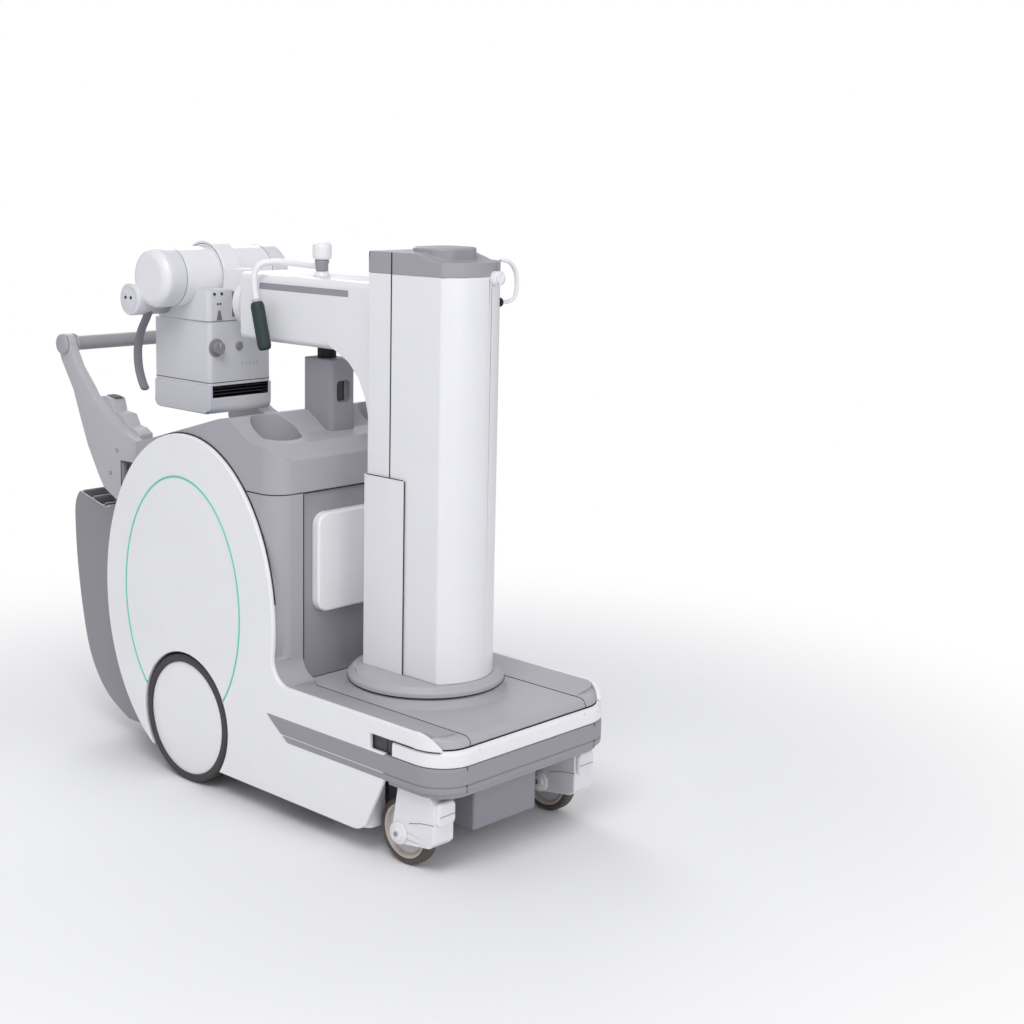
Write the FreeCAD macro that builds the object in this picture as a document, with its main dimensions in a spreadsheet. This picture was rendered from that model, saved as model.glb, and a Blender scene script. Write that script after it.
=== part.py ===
import FreeCAD, Part
import math
import os

import Sketcher
from FreeCAD import Vector

# A mobile radiography unit: a battery cart with two drive wheels and two casters, a turning
# column whose rear mast rises, a horizontal arm with a sliding inner arm, and a tube head with
# a collimator. Lengths are millimetres. X points to the column end, Y to the left, Z up.
# Every piece is drawn from the rear axle (X = 0) and its Placement moves it to the row frame.

SIZES = {
    # Stance
    "axle_x": -145,
    "wheel_radius": 155,
    "half_width": 278,
    "cover_skin": 12,
    "fit_gap": 0.4,
    # Oval side cover and its forward skirt
    "egg_x": 5,
    "egg_z": 430,
    "egg_length": 638,
    "egg_height": 820,
    "egg_lip": 8,
    "skirt_top": 316,
    "skirt_bottom": 55,
    "skirt_toe": 598,
    "toe_x": 646,
    "toe_z": 108,
    "toe_radius": 60,
    "skirt_front": 686,
    "skirt_nose": 806,
    "skirt_blend": 46,
    "arch_gap": 6,
    "notch_rear": 642,
    "notch_front": 710,
    "strip_bottom": 247,
    "strip_top": 281,
    "front_x": 858,
    "corner_radius": 82,
    "bumper_depth": 44,
    "strip_edge": 4,
    # Grey bumper band
    "band_start": 302,
    "band_slant": 76,
    "band_bottom": 190,
    "band_top": 245,
    "band_proud": 2,
    "band_depth": 9,
    # Accent ring on the oval cover
    "accent_x": -11,
    "accent_z": 440,
    "accent_length": 443,
    "accent_height": 600,
    "accent_width": 5,
    "accent_depth": 2,
    # Chassis
    "panel_half": 184,
    "pan_bottom": 62,
    "pan_top": 84,
    "pan_inset": 30,
    "wing_rear": 606,
    "wing_inset": 15,
    "front_block_rear": 330,
    "kingpin_length": 52,
    "cell_headroom": 37,
    "rack_margin": 10,
    "tank_margin": 16,
    "cell_half": 168,
    "motor_half": 70,
    "motor_inner": 30,
    "axle_seat": 60,
    "well_depth": 66,
    # Deck
    "deck_top": 302,
    "deck_bottom": 282,
    "deck_front": 813.6,
    "deck_corner": 38,
    # Body shells
    "body_front": 320,
    "body_corner": 52,
    "body_seam": 737,
    "panel_set": 4,
    "panel_thick": 8,
    "pocket_half": 154,
    "pocket_bottom": 458,
    "pocket_top": 687,
    "pocket_radius": 30,
    "pocket_depth": 22,
    # Top cover and console
    "crest_x": 150,
    "crest_rise": 156,
    "crest_rear_x": 120,
    "crest_rear_rise": 151,
    "ledge_rise": 115,
    "ledge_front": 290,
    "ledge_rear": 226,
    "brow_rise": 75,
    "dip_x": -140,
    "dip_rise": 75,
    "console_reach": 88,
    "console_rear_rise": 11,
    "cover_rounding": 18,
    "hang_top_reach": 88,
    "hang_top_rise": 5,
    "hang_low_reach": 48,
    "hang_low_drop": 115,
    "cup_x": 205,
    "cup_y": 166,
    "cup_radius": 58,
    "cup_floor_radius": 46,
    "cup_depth": 50,
    "glass_half": 172,
    "glass_front": 96,
    "glass_edge": 12,
    "glass_thick": 8,
    "post_rear": 140,
    "post_front": 240,
    "post_right": -30,
    "post_left": 46,
    "post_top": 1015,
    "post_rounding": 12,
    "stop_x": 160,
    "stop_radius": 22,
    "post_sunk": 12,
    "socket_low": 915,
    "socket_high": 965,
    "socket_depth": 14,
    "power_x": 56,
    "power_y": 154,
    "power_radius": 9,
    "power_stroke": 2.5,
    "arm_rest_gap": 0.5,
    # Push handle
    "bar_reach": 241,
    "bar_rise": 266,
    "bar_radius": 18,
    "cheek_thick": 24,
    "cheek_inset": 28,
    "cheek_end_radius": 26,
    "cheek_lap": 84,
    "grip_in": 186,
    "rear_panel_thick": 15,
    "rear_panel_half": 60,
    "halt_up": 16,
    "halt_y": 105,
    "halt_radius": 17,
    "halt_stem": 8,
    "halt_stroke": 5,
    "switch_up": 8,
    "switch_y": 166,
    "switch_radius": 18,
    "pull_y": -110,
    "pull_half": 34,
    "pull_reach": 34,
    # Detector bin
    "bin_half": 200,
    "bin_floor": 250,
    "bin_wall": 9,
    "bin_slot": 38,
    "bin_slot_reach": 253,
    "bin_outer_floor": 345,
    # Drive wheels
    "wheel_inset": 2,
    "wheel_width": 56,
    "disc_radius": 137,
    "disc_dish": 5,
    "tyre_edge": 5,
    "axle_radius": 14,
    "bearing_gap": 0.05,
    # Casters
    "swivel_x": 746,
    "swivel_inset": 54,
    "caster_trail": 36,
    "caster_radius": 74,
    "caster_width": 32,
    "caster_tread": 14,
    "caster_axle": 8,
    "fork_gap": 4,
    "fork_front": 66,
    "fork_nose": 12,
    "fork_low": 64,
    "fork_back": 42,
    "boss_radius": 24,
    "axle_head": 8,
    "fork_wall": 10,
    "fork_top": 176,
    "kingpin_radius": 12,
    # Front under box
    "under_front": 780,
    "under_half": 100,
    "under_bottom": 56,
    # Turntable and column
    "turn_x": 530,
    "disc_edge": 177,
    "disc_bottom": 325,
    "disc_rim": 335,
    "disc_top": 348,
    "plinth_slope": 10,
    "plinth_top": 322,
    "race_radius": 120,
    "column_half": 90,
    "column_rear": 428,
    "mast_split": 500,
    "column_shoulder": 646.4,
    "column_face_set": 7.6,
    "column_face_half": 86.5,
    "column_bow": 32,
    "column_face_radius": 133,
    "column_rounding": 10,
    "column_top": 1229,
    "cap_top": 1276,
    "cap_brow_set": 79,
    "cap_knee_set": 29,
    "cap_knee_z": 1261,
    "cap_nose_z": 1259,
    "cap_edge": 5,
    "dome_rear": 512,
    "dome_set": 26,
    "dome_half": 62,
    "dome_corner": 40,
    "dome_top": 1288,
    "peg_y": 38,
    "peg_z": 1226,
    "peg_seat": 14,
    "sleeve_top": 785,
    "sleeve_front": 548,
    "sleeve_wall": 4,
    "slide_gap": 0.6,
    "mast_foot": 360,
    "rail_half": 30,
    "rail_depth": 18,
    # Arm
    "arm_half": 76,
    "arm_top": 1205,
    "arm_bottom": 1046,
    "arm_end": -33,
    "arm_axis": 1125,
    "arm_flat": 306,
    "arm_hollow": 308,
    "lever_x": 207,
    "lever_y": -30,
    "lever_z": 1228,
    "lever_top": 1286,
    "lever_hub": 14,
    "lever_pin": 6,
    "lever_foot": 1218,
    "lever_tube": 7,
    "grip_x": 84,
    "grip_y": -108,
    "grip_radius": 16,
    "grip_low": 1031,
    "grip_high": 1138,
    "arm_rounding": 16,
    "bracket_low": 800,
    "inner_half": 52,
    "inner_height": 100,
    "inner_rear": 306,
    "stripe_rear": 38,
    "stripe_front": 346,
    "stripe_top": 1183,
    "stripe_height": 14,
    "stripe_depth": 3,
    "flange_radius": 60,
    "flange_thick": 28,
    # Tube head
    "tube_x": -240,
    "tube_z": 1183,
    "tube_radius": 72,
    "tube_right": 192,
    "tube_left": 200,
    "tube_cap": 24,
    "ring_radius": 86,
    "ring_half": 26,
    "carrier_thick": 23,
    "ring_gap": 0.3,
    "bridge_low": 1150,
    "bridge_high": 1206,
    "cradle_slot": -200,
    "cradle_slot_low": 1088,
    "band_half": 100,
    "band_back": -334,
    "band_face": -125,
    "band_low": 1080,
    "band_high": 1157,
    "hub_x": -307,
    "hub_z": 1128,
    "hub_radius": 40,
    "hub_length": 80,
    "rod_y": 155,
    "rod_half": 9,
    "rod_thick": 10,
    "collimator_half_x": 113,
    "collimator_half_y": 96,
    "collimator_top": 1079,
    "collimator_seam": 922,
    "collimator_bottom": 852,
    "collimator_corner": 20,
    "collimator_edge": 12,
    "pivot_radius": 24,
    "pivot_length": 12,
    "slot_low": 893,
    "slot_half": 86,
    "slot_depth": 70,
    "knob_radius": 15,
    "knob_y": -76,
    "knob_z": 1016,
    "button_radius": 7,
    "button_y": -5,
    "button_travel": 3,
}

doc = FreeCAD.newDocument("mobile_radiography_unit")
sheet = doc.addObject("Spreadsheet::Sheet", "dims")


class Size:
    """A number together with the sheet formula that gives it."""

    def __init__(self, value, formula):
        self.value = float(value)
        self.formula = formula

    def __add__(self, other):
        return combined(self, "+", other)

    def __radd__(self, other):
        return combined(other, "+", self)

    def __sub__(self, other):
        return combined(self, "-", other)

    def __rsub__(self, other):
        return combined(other, "-", self)

    def __mul__(self, other):
        return combined(self, "*", other)

    def __rmul__(self, other):
        return combined(other, "*", self)

    def __truediv__(self, other):
        return combined(self, "/", other)

    def __neg__(self):
        return combined(0, "-", self)


def value(size):
    return size.value if isinstance(size, Size) else float(size)


def formula(size):
    return size.formula if isinstance(size, Size) else repr(float(size))


def combined(first, sign, second):
    a, b = value(first), value(second)
    result = {"+": a + b, "-": a - b, "*": a * b, "/": a / b if b else 0.0}[sign]
    return Size(result, f"({formula(first)} {sign} {formula(second)})")


class Dimensions:
    """The driving dimensions, read by name from the sheet."""

    def __init__(self, sizes):
        for row, (name, number) in enumerate(sizes.items(), start=1):
            sheet.set(f"A{row}", name)
            sheet.set(f"B{row}", str(number))
            sheet.setAlias(f"B{row}", name)
            setattr(self, name, Size(number, f"dims.{name}"))


D = Dimensions(SIZES)
doc.recompute()


def tie_sizes():
    """Places that follow another piece at a named distance."""
    D.pan_rear = D.egg_x - D.egg_length / 2 + D.pan_inset
    D.console_rear = D.pan_rear - D.console_reach
    D.glass_rear = D.console_rear + D.glass_edge
    D.hang_top_x = D.pan_rear - D.hang_top_reach
    D.hang_low_x = D.pan_rear - D.hang_low_reach
    D.cheek_seat = D.pan_rear + D.cheek_lap
    D.bar_x = D.pan_rear - D.bar_reach
    D.bin_slot_rear = D.pan_rear - D.bin_slot_reach
    D.wing_half = D.half_width - D.wing_inset
    D.wheel_face = D.half_width - D.wheel_inset
    D.swivel_y = D.half_width - D.swivel_inset
    D.cheek_out = D.half_width - D.cheek_inset
    D.cheek_in = D.cheek_out - D.cheek_thick
    D.column_face_x = D.column_shoulder + D.column_face_set
    D.column_front = D.column_face_x + D.column_bow
    D.cap_brow = D.column_face_x - D.cap_brow_set
    D.cap_knee = D.column_face_x - D.cap_knee_set
    D.dome_front = D.column_face_x - D.dome_set
    D.crest_z = D.body_seam + D.crest_rise
    D.crest_rear_z = D.body_seam + D.crest_rear_rise
    D.ledge_z = D.body_seam + D.ledge_rise
    D.brow_z = D.body_seam + D.brow_rise
    D.dip_z = D.body_seam + D.dip_rise
    D.console_rear_z = D.body_seam + D.console_rear_rise
    D.hang_top_z = D.body_seam + D.hang_top_rise
    D.hang_low_z = D.body_seam - D.hang_low_drop
    D.bar_z = D.body_seam + D.bar_rise
    D.cell_top = D.body_seam - D.cell_headroom
    D.cup_floor = D.ledge_z - D.cup_depth
    D.post_foot = D.ledge_z - D.post_sunk


tie_sizes()


def behind(*spots):
    """Side view places given by how far they lie behind the pan and above the body seam."""
    return [(D.pan_rear - back, D.body_seam + rise) for back, rise in spots]



def bind(thing, name, size):
    thing.setExpression(name, formula(size))


def span(plane, low, high):
    """Sketch offset and length of a slab between two places along the plane's third axis."""
    if plane == "XZ":
        return -high, high - low
    return low, high - low


def sided(side, inner, outer):
    """A span on the left (1) or right (-1) side, as low and high Y."""
    if side > 0:
        return inner, outer
    return -outer, -inner


class Piece:
    """One sub-part made of sketches and features, with its own label and placement."""

    def __init__(self, label, base=None, lean=0):
        self.label = label
        self.body = doc.addObject("PartDesign::Body", label)
        self.body.Label = label
        self.body.Placement.Rotation = FreeCAD.Rotation(Vector(0, 1, 0), lean)
        at = base or (0, 0, 0)
        bind(self.body, "Placement.Base.x", D.axle_x + at[0])
        bind(self.body, "Placement.Base.y", at[1])
        bind(self.body, "Placement.Base.z", at[2])

    def sketch(self, plane, offset):
        sketch = self.body.newObject("Sketcher::SketchObject", self.label + "_sketch")
        support = [f for f in self.body.Origin.OriginFeatures if f.Role == plane + "_Plane"][0]
        sketch.AttachmentSupport = (support, [""])
        sketch.MapMode = "FlatFace"
        bind(sketch, "AttachmentOffset.Base.z", offset)
        return sketch

    def settle(self, made):
        doc.recompute()
        if "Invalid" in made.State or "Error" in made.State or made.Shape.isNull():
            raise RuntimeError(made.Label + " failed: " + str(made.State))
        return self

    def feature(self, kind, sketch):
        made = self.body.newObject("PartDesign::" + kind, self.label + "_" + kind.lower())
        made.Profile = sketch
        sketch.Visibility = False
        return made

    def pad(self, plane, low, high, *outlines):
        offset, length = span(plane, low, high)
        sketch = self.sketch(plane, offset)
        for outline in outlines:
            outline(sketch)
        made = self.feature("Pad", sketch)
        bind(made, "Length", length)
        return self.settle(made)

    def cut(self, plane, low, high, *outlines):
        before = self.body.Shape.Volume
        offset, length = span(plane, low, high)
        sketch = self.sketch(plane, offset)
        for outline in outlines:
            outline(sketch)
        made = self.feature("Pocket", sketch)
        made.Reversed = True
        bind(made, "Length", length)
        self.settle(made)
        if not self.body.Shape.Volume < before - 0.001:
            raise RuntimeError(self.label + ": a cut removed nothing")
        return self

    def turn(self, plane, axis, outline, groove=False):
        """Revolves an outline about the sketch's H_Axis or V_Axis."""
        sketch = self.sketch(plane, 0)
        outline(sketch)
        made = self.feature("Groove" if groove else "Revolution", sketch)
        made.ReferenceAxis = (sketch, [axis])
        made.Angle = 360
        return self.settle(made)

    def fillet(self, radius, picked):
        base = self.body.Tip
        names = ["Edge%d" % (n + 1) for n, edge in enumerate(base.Shape.Edges) if picked(edge)]
        if not names:
            raise RuntimeError(self.label + ": no edge to round")
        made = self.body.newObject("PartDesign::Fillet", self.label + "_fillet")
        made.Base = (base, names)
        bind(made, "Radius", radius)
        return self.settle(made)

    def chamfer(self, size, picked):
        base = self.body.Tip
        names = ["Edge%d" % (n + 1) for n, edge in enumerate(base.Shape.Edges) if picked(edge)]
        if not names:
            raise RuntimeError(self.label + ": no edge to chamfer")
        made = self.body.newObject("PartDesign::Chamfer", self.label + "_chamfer")
        made.Base = (base, names)
        bind(made, "Size", size)
        return self.settle(made)


def near(a, b, reach=0.6):
    return abs(a - value(b)) < reach


def along(axis, *spots):
    """Picks straight edges along X, Y or Z that pass through spots of the other two axes."""
    index = "XYZ".index(axis)
    others = [n for n in range(3) if n != index]

    def picked(edge):
        if len(edge.Vertexes) != 2:
            return False
        ends = [tuple(vertex.Point) for vertex in edge.Vertexes]
        if any(abs(ends[0][n] - ends[1][n]) > 0.01 for n in others):
            return False
        if not spots:
            return True
        return any(all(near(ends[0][n], spot[k]) for k, n in enumerate(others)) for spot in spots)
    return picked


def in_plane(axis, *places):
    """Picks edges that lie wholly in a plane across the axis at one of the places."""
    index = "XYZ".index(axis)

    def picked(edge):
        box = edge.BoundBox
        low = (box.XMin, box.YMin, box.ZMin)[index]
        high = (box.XMax, box.YMax, box.ZMax)[index]
        return any(near(low, place, 0.05) and near(high, place, 0.05) for place in places)
    return picked


def pin(sketch, geometry, end, x, y):
    """Fixes a point of the sketch by its two sizes."""
    for kind, size in (("DistanceX", x), ("DistanceY", y)):
        rule = Sketcher.Constraint(kind, -1, 1, geometry, end, value(size))
        index = sketch.addConstraint(rule)
        if isinstance(size, Size):
            sketch.setExpression(f"Constraints[{index}]", formula(size))


def circle(x, y, radius):
    def draw(sketch):
        ring = Part.Circle(Vector(value(x), value(y), 0), Vector(0, 0, 1), value(radius))
        geometry = sketch.addGeometry(ring, False)
        pin(sketch, geometry, 3, x, y)
        index = sketch.addConstraint(Sketcher.Constraint("Radius", geometry, value(radius)))
        sketch.setExpression(f"Constraints[{index}]", formula(radius))
    return draw


def ellipse(x, y, width, height):
    """An ellipse that is taller than it is wide."""
    def draw(sketch):
        top = Vector(value(x), value(y) + value(height) / 2, 0)
        side = Vector(value(x) + value(width) / 2, value(y), 0)
        oval = Part.Ellipse(top, side, Vector(value(x), value(y), 0))
        geometry = sketch.addGeometry(oval, False)
        sketch.exposeInternalGeometry(geometry)
        pin(sketch, geometry, 3, x, y)
        sketch.addConstraint(Sketcher.Constraint("Vertical", geometry + 1))
        for offset, size in ((1, height), (2, width)):
            rule = Sketcher.Constraint("Distance", geometry + offset, value(size))
            index = sketch.addConstraint(rule)
            sketch.setExpression(f"Constraints[{index}]", formula(size))
    return draw


def bulged(start, end, radius):
    """A point of the minor arc of a given radius from start to end; a negative radius bulges
    to the right of the way."""
    chord = end - start
    half = chord.Length / 2
    rise = abs(radius) - math.sqrt(max(radius * radius - half * half, 0))
    across = Vector(-chord.y, chord.x, 0).normalize()
    side = 1 if radius > 0 else -1
    return (start + end) * 0.5 + across * (rise * side)


def outline(*points):
    """A closed outline of (x, y) points; (x, y, radius) starts an arc to the next point."""
    def draw(sketch):
        first = sketch.GeometryCount
        spots = [Vector(value(point[0]), value(point[1]), 0) for point in points]
        count = len(points)
        for n, point in enumerate(points):
            start, end = spots[n], spots[(n + 1) % count]
            if len(point) == 3:
                middle = bulged(start, end, value(point[2]))
                arc = Part.Arc(start, middle, end)
                sketch.addGeometry(arc, False)
            else:
                sketch.addGeometry(Part.LineSegment(start, end), False)
        for n, point in enumerate(points):
            follower = (n + 1) % count
            flipped = arc_flipped(sketch, first + n, spots[n])
            flipped_next = arc_flipped(sketch, first + follower, spots[follower])
            end = 1 if flipped else 2
            start = 2 if flipped_next else 1
            sketch.addConstraint(
                Sketcher.Constraint("Coincident", first + n, end, first + follower, start))
        for n, point in enumerate(points):
            flipped = arc_flipped(sketch, first + n, spots[n])
            pin(sketch, first + n, 2 if flipped else 1, point[0], point[1])
            if len(point) == 3:
                size = abs(value(point[2]))
                index = sketch.addConstraint(Sketcher.Constraint("Radius", first + n, size))
                if isinstance(point[2], Size) and value(point[2]) > 0:
                    sketch.setExpression(f"Constraints[{index}]", formula(point[2]))
                elif isinstance(point[2], Size):
                    sketch.setExpression(f"Constraints[{index}]", formula(-point[2]))
    return draw


def arc_flipped(sketch, index, start):
    """Whether the sketch stored an arc from its far end, as it does for clockwise ones."""
    if not isinstance(sketch.Geometry[index], Part.ArcOfCircle):
        return False
    first, last = sketch.getPoint(index, 1), sketch.getPoint(index, 2)
    return (first - start).Length > (last - start).Length


def rectangle(x_low, x_high, y_low, y_high):
    return outline((x_low, y_low), (x_high, y_low), (x_high, y_high), (x_low, y_high))


def rounded(x_low, x_high, y_low, y_high, radius):
    """A rectangle with four round corners."""
    return outline(
        (x_low + radius, y_low), (x_high - radius, y_low, -radius),
        (x_high, y_low + radius), (x_high, y_high - radius, -radius),
        (x_high - radius, y_high), (x_low + radius, y_high, -radius),
        (x_low, y_high - radius), (x_low, y_low + radius, -radius))


def ribbon(half, *spots):
    """Outline points of a strip of even width that follows a line of spots."""
    line = [Vector(x, y, 0) for x, y in spots]
    sides = []
    for n, spot in enumerate(line):
        before = (spot - line[n - 1]).normalize() if n else (line[1] - spot).normalize()
        after = (line[n + 1] - spot).normalize() if n + 1 < len(line) else before
        way = (before + after).normalize()
        reach = half / way.dot(after)
        sides.append(Vector(-way.y, way.x, 0) * reach)
    left = [spot + side for spot, side in zip(line, sides)]
    right = [spot - side for spot, side in zip(line, sides)]
    return [(spot.x, spot.y) for spot in left + right[::-1]]


SIDES = (("left", 1), ("right", -1))


def chassis_frame():
    """Floor pan, front block and the wings that carry the casters and the bumper."""
    frame = Piece("chassis_frame")
    beam = D.front_x - D.bumper_depth
    frame.pad("XZ", -D.panel_half, D.panel_half, outline(
        (D.pan_rear, D.pan_bottom), (D.wing_rear, D.pan_bottom), (D.wing_rear, D.band_bottom),
        (beam, D.band_bottom), (beam, D.deck_bottom), (D.front_block_rear, D.deck_bottom),
        (D.front_block_rear, D.pan_top), (D.pan_rear, D.pan_top)))
    frame.pad("XY", D.band_bottom, D.deck_bottom,
              rectangle(D.wing_rear, beam, -D.wing_half, D.wing_half))
    frame.fillet(D.corner_radius - D.bumper_depth + D.fit_gap,
                 along("Z", (beam, D.wing_half), (beam, -D.wing_half)))
    bores = [circle(D.swivel_x, side * D.swivel_y, D.kingpin_radius + D.bearing_gap)
             for _, side in SIDES]
    frame.cut("XY", D.band_bottom, D.band_bottom + D.kingpin_length, *bores)


def power_pieces():
    """What stands on the pan inside the closed body: cells, tank, rack and drive motors."""
    cells = Piece("battery_pack")
    cells.pad("XY", D.pan_top, D.cell_top,
              rectangle(D.pan_rear + D.rack_margin, -D.motor_half - D.rack_margin,
                        -D.cell_half, D.cell_half))
    tank = Piece("generator_tank")
    tank.pad("XY", D.pan_top, D.cell_top,
             rectangle(D.motor_half + D.rack_margin, D.body_front - D.tank_margin,
                       -D.cell_half, D.cell_half))
    tank.chamfer(D.rack_margin, along("Z"))
    motors = Piece("drive_motors", (0, 0, D.wheel_radius))
    for _, side in SIDES:
        low, high = sided(side, D.motor_inner, D.panel_half)
        motors.pad("XZ", low, high, circle(0, 0, D.motor_half))
        foot = sided(side, D.motor_inner + D.rack_margin, D.panel_half)
        motors.pad("XZ", foot[0], foot[1], rectangle(
            -D.motor_half * 0.8, D.motor_half * 0.8, D.pan_top - D.wheel_radius, 0))
        bore = sided(side, D.panel_half - D.axle_seat, D.panel_half)
        motors.cut("XZ", bore[0], bore[1], circle(0, 0, D.axle_radius + D.bearing_gap))


def side_shell(name, side):
    """Grey moulding: the rounded body corner that runs forward into the deck strip."""
    low, high = sided(side, D.panel_half, D.half_width - D.cover_skin)
    shell = Piece("side_shell_" + name)
    inside = D.axle_radius * 2
    shell.pad("XZ", low, high, outline(
        (inside, D.pan_bottom), (D.body_front, D.pan_bottom), (D.body_front, D.deck_bottom),
        (D.deck_front, D.deck_bottom), (D.deck_front, D.skirt_top), (D.body_front, D.skirt_top),
        (D.body_front, D.body_seam), (inside, D.body_seam)))
    outer = D.half_width - D.cover_skin
    shell.fillet(D.body_corner, along("Z", (D.body_front, side * outer)))
    rear = D.body_front - D.body_corner
    shell.pad("XZ", low, high, outline(
        (rear, D.skirt_top), (D.body_front + D.skirt_blend, D.skirt_top, D.skirt_blend),
        (D.body_front, D.skirt_top + D.skirt_blend),
        (rear, D.skirt_top + D.skirt_blend + D.body_corner)))
    shell.pad("XZ", low, high, ellipse(D.egg_x, D.egg_z, D.egg_length - D.egg_lip * 2,
                                       D.egg_height - D.egg_lip * 2))
    reach = D.egg_length
    shell.cut("XZ", low, high, rectangle(-reach, reach, D.body_seam, D.body_seam + reach))
    shell.cut("XZ", low, high, rectangle(-reach, reach, D.pan_bottom - reach, D.pan_bottom))
    beside = sided(side, D.panel_half, D.bin_half + D.fit_gap)
    shell.cut("XZ", beside[0], beside[1],
              rectangle(-reach, D.pan_rear, D.pan_bottom, D.body_seam))
    slope = outline((side * D.panel_half, D.deck_top), (side * outer, D.skirt_top),
                    (side * outer, D.body_seam), (side * D.panel_half, D.body_seam))
    shell.cut("YZ", D.body_front + D.skirt_blend, D.deck_front + 1, slope)
    shell.fillet(D.deck_corner, along("Z", (D.deck_front, side * outer)))
    well = sided(side, D.half_width - D.well_depth, outer)
    shell.cut("XZ", well[0], well[1], circle(0, D.wheel_radius, D.wheel_radius + D.arch_gap * 1.5))
    shell.cut("XZ", low, high, circle(0, D.wheel_radius, D.axle_radius + D.arch_gap))


def band_outline():
    """Side view of the bumper band, pointed at its rear end."""
    return outline(
        (D.band_start + D.band_slant, D.band_bottom), (D.skirt_front + D.band_slant, D.band_bottom),
        (D.skirt_front + D.band_slant, D.band_top), (D.band_start, D.band_top))


def side_cover(name, side):
    """White oval cover with the wheel arch and the forward skirt."""
    low, high = sided(side, D.half_width - D.cover_skin, D.half_width)
    cover = Piece("side_cover_" + name)
    cover.pad("XZ", low, high, ellipse(D.egg_x, D.egg_z, D.egg_length, D.egg_height))
    hidden = D.wheel_radius * 0.6
    cover.pad("XZ", low, high, outline(
        (hidden, D.skirt_bottom), (D.skirt_toe, D.skirt_bottom, -D.toe_radius),
        (D.toe_x, D.toe_z), (D.skirt_front, D.band_bottom), (D.skirt_front, D.strip_bottom),
        (D.notch_rear, D.strip_bottom), (D.notch_rear, D.strip_top),
        (D.skirt_nose, D.strip_top), (D.skirt_nose, D.skirt_top), (hidden, D.skirt_top)))
    half_long, half_tall = D.egg_length.value / 2, D.egg_height.value / 2
    rise = (D.skirt_top.value - D.egg_z.value) / half_tall
    meeting = D.egg_x.value + half_long * math.sqrt(1 - rise * rise)
    cover.fillet(D.skirt_blend, along("Y", (meeting, D.skirt_top)))
    cover.cut("XZ", low, high, circle(0, D.wheel_radius, D.wheel_radius + D.arch_gap))
    recess = sided(side, D.half_width - D.band_depth, D.half_width)
    cover.cut("XZ", recess[0], recess[1], band_outline())
    ring = sided(side, D.half_width - D.accent_depth, D.half_width)
    cover.cut("XZ", ring[0], ring[1], *accent_rings())


def accent_rings():
    inner_length = D.accent_length - D.accent_width * 2
    inner_height = D.accent_height - D.accent_width * 2
    return (ellipse(D.accent_x, D.accent_z, D.accent_length, D.accent_height),
            ellipse(D.accent_x, D.accent_z, inner_length, inner_height))


def accent_trim():
    """Thin coloured rings let into both oval covers, stopped by the wheel arches."""
    trim = Piece("accent_rings")
    for _, side in SIDES:
        low, high = sided(side, D.half_width - D.accent_depth, D.half_width)
        trim.pad("XZ", low, high, *accent_rings())
        trim.cut("XZ", low, high, circle(0, D.wheel_radius, D.wheel_radius + D.arch_gap))


def bumper_rail(label, start, outer, side_depth, low, high):
    """A rail round the front end, U-shaped in plan."""
    rail = Piece(label)
    inner = D.front_x - D.bumper_depth
    rail.pad("XY", low, high, outline(
        (start, -outer), (D.front_x, -outer), (D.front_x, outer), (start, outer),
        (start, outer - side_depth), (inner, outer - side_depth),
        (inner, side_depth - outer), (start, side_depth - outer)))
    rail.fillet(D.corner_radius, along("Z", (D.front_x, outer), (D.front_x, -outer)))
    rail.fillet(D.corner_radius - D.bumper_depth,
                along("Z", (inner, outer - side_depth), (inner, side_depth - outer)))
    return rail


def bumper_pieces():
    strip = bumper_rail("front_strip", D.notch_front, D.half_width, D.cover_skin,
                        D.strip_bottom, D.strip_top - D.fit_gap)
    strip.fillet(D.strip_edge, in_plane("Z", D.strip_top - D.fit_gap))
    outer = D.half_width + D.band_proud
    depth = D.band_depth + D.band_proud
    rail = bumper_rail("bumper_band", D.band_start, outer, depth, D.band_bottom, D.band_top)
    slack = D.bumper_depth
    rail.cut("XZ", -outer, outer, outline(
        (D.band_start - slack, D.band_bottom - slack),
        (D.band_start + D.band_slant, D.band_bottom - slack),
        (D.band_start + D.band_slant, D.band_bottom), (D.band_start, D.band_top),
        (D.band_start - slack, D.band_top)))


def under_box():
    """Grey housing that hangs between the casters."""
    box = Piece("under_box")
    box.pad("XZ", -D.under_half, D.under_half, outline(
        (D.wing_rear, D.under_bottom), (D.under_front, D.under_bottom),
        (D.under_front, D.band_bottom), (D.wing_rear, D.band_bottom)))
    box.fillet(D.arch_gap, along("Z", (D.under_front, D.under_half), (D.under_front, -D.under_half)))


def deck_slab():
    """Front deck with the raised plinth round the turntable."""
    deck = Piece("deck_slab", (D.turn_x, 0, 0))
    rear = D.body_front - D.panel_set - D.turn_x
    deck.pad("XY", D.deck_bottom, D.deck_top,
             rectangle(rear, D.deck_front - D.turn_x, -D.panel_half, D.panel_half))
    deck.turn("XZ", "V_Axis", outline(
        (0, D.deck_bottom), (D.panel_half - D.plinth_slope * 0.2, D.deck_bottom),
        (D.panel_half - D.plinth_slope * 0.2, D.deck_top),
        (D.panel_half - D.plinth_slope, D.plinth_top), (0, D.plinth_top)))


def front_panel():
    """Darker plate between the body corners, with the white rounded cover on it."""
    face = D.body_front - D.panel_set
    panel = Piece("front_panel")
    panel.pad("YZ", face - D.panel_thick, face,
              rectangle(-D.panel_half, D.panel_half, D.deck_top, D.body_seam))
    cover = Piece("front_access_cover")
    cover.pad("YZ", face, face + D.pocket_depth,
              rectangle(-D.pocket_half, D.pocket_half, D.pocket_bottom, D.pocket_top))
    cover.fillet(D.pocket_radius, along("X"))
    cover.fillet(D.arch_gap, in_plane("X", face + D.pocket_depth))


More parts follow.
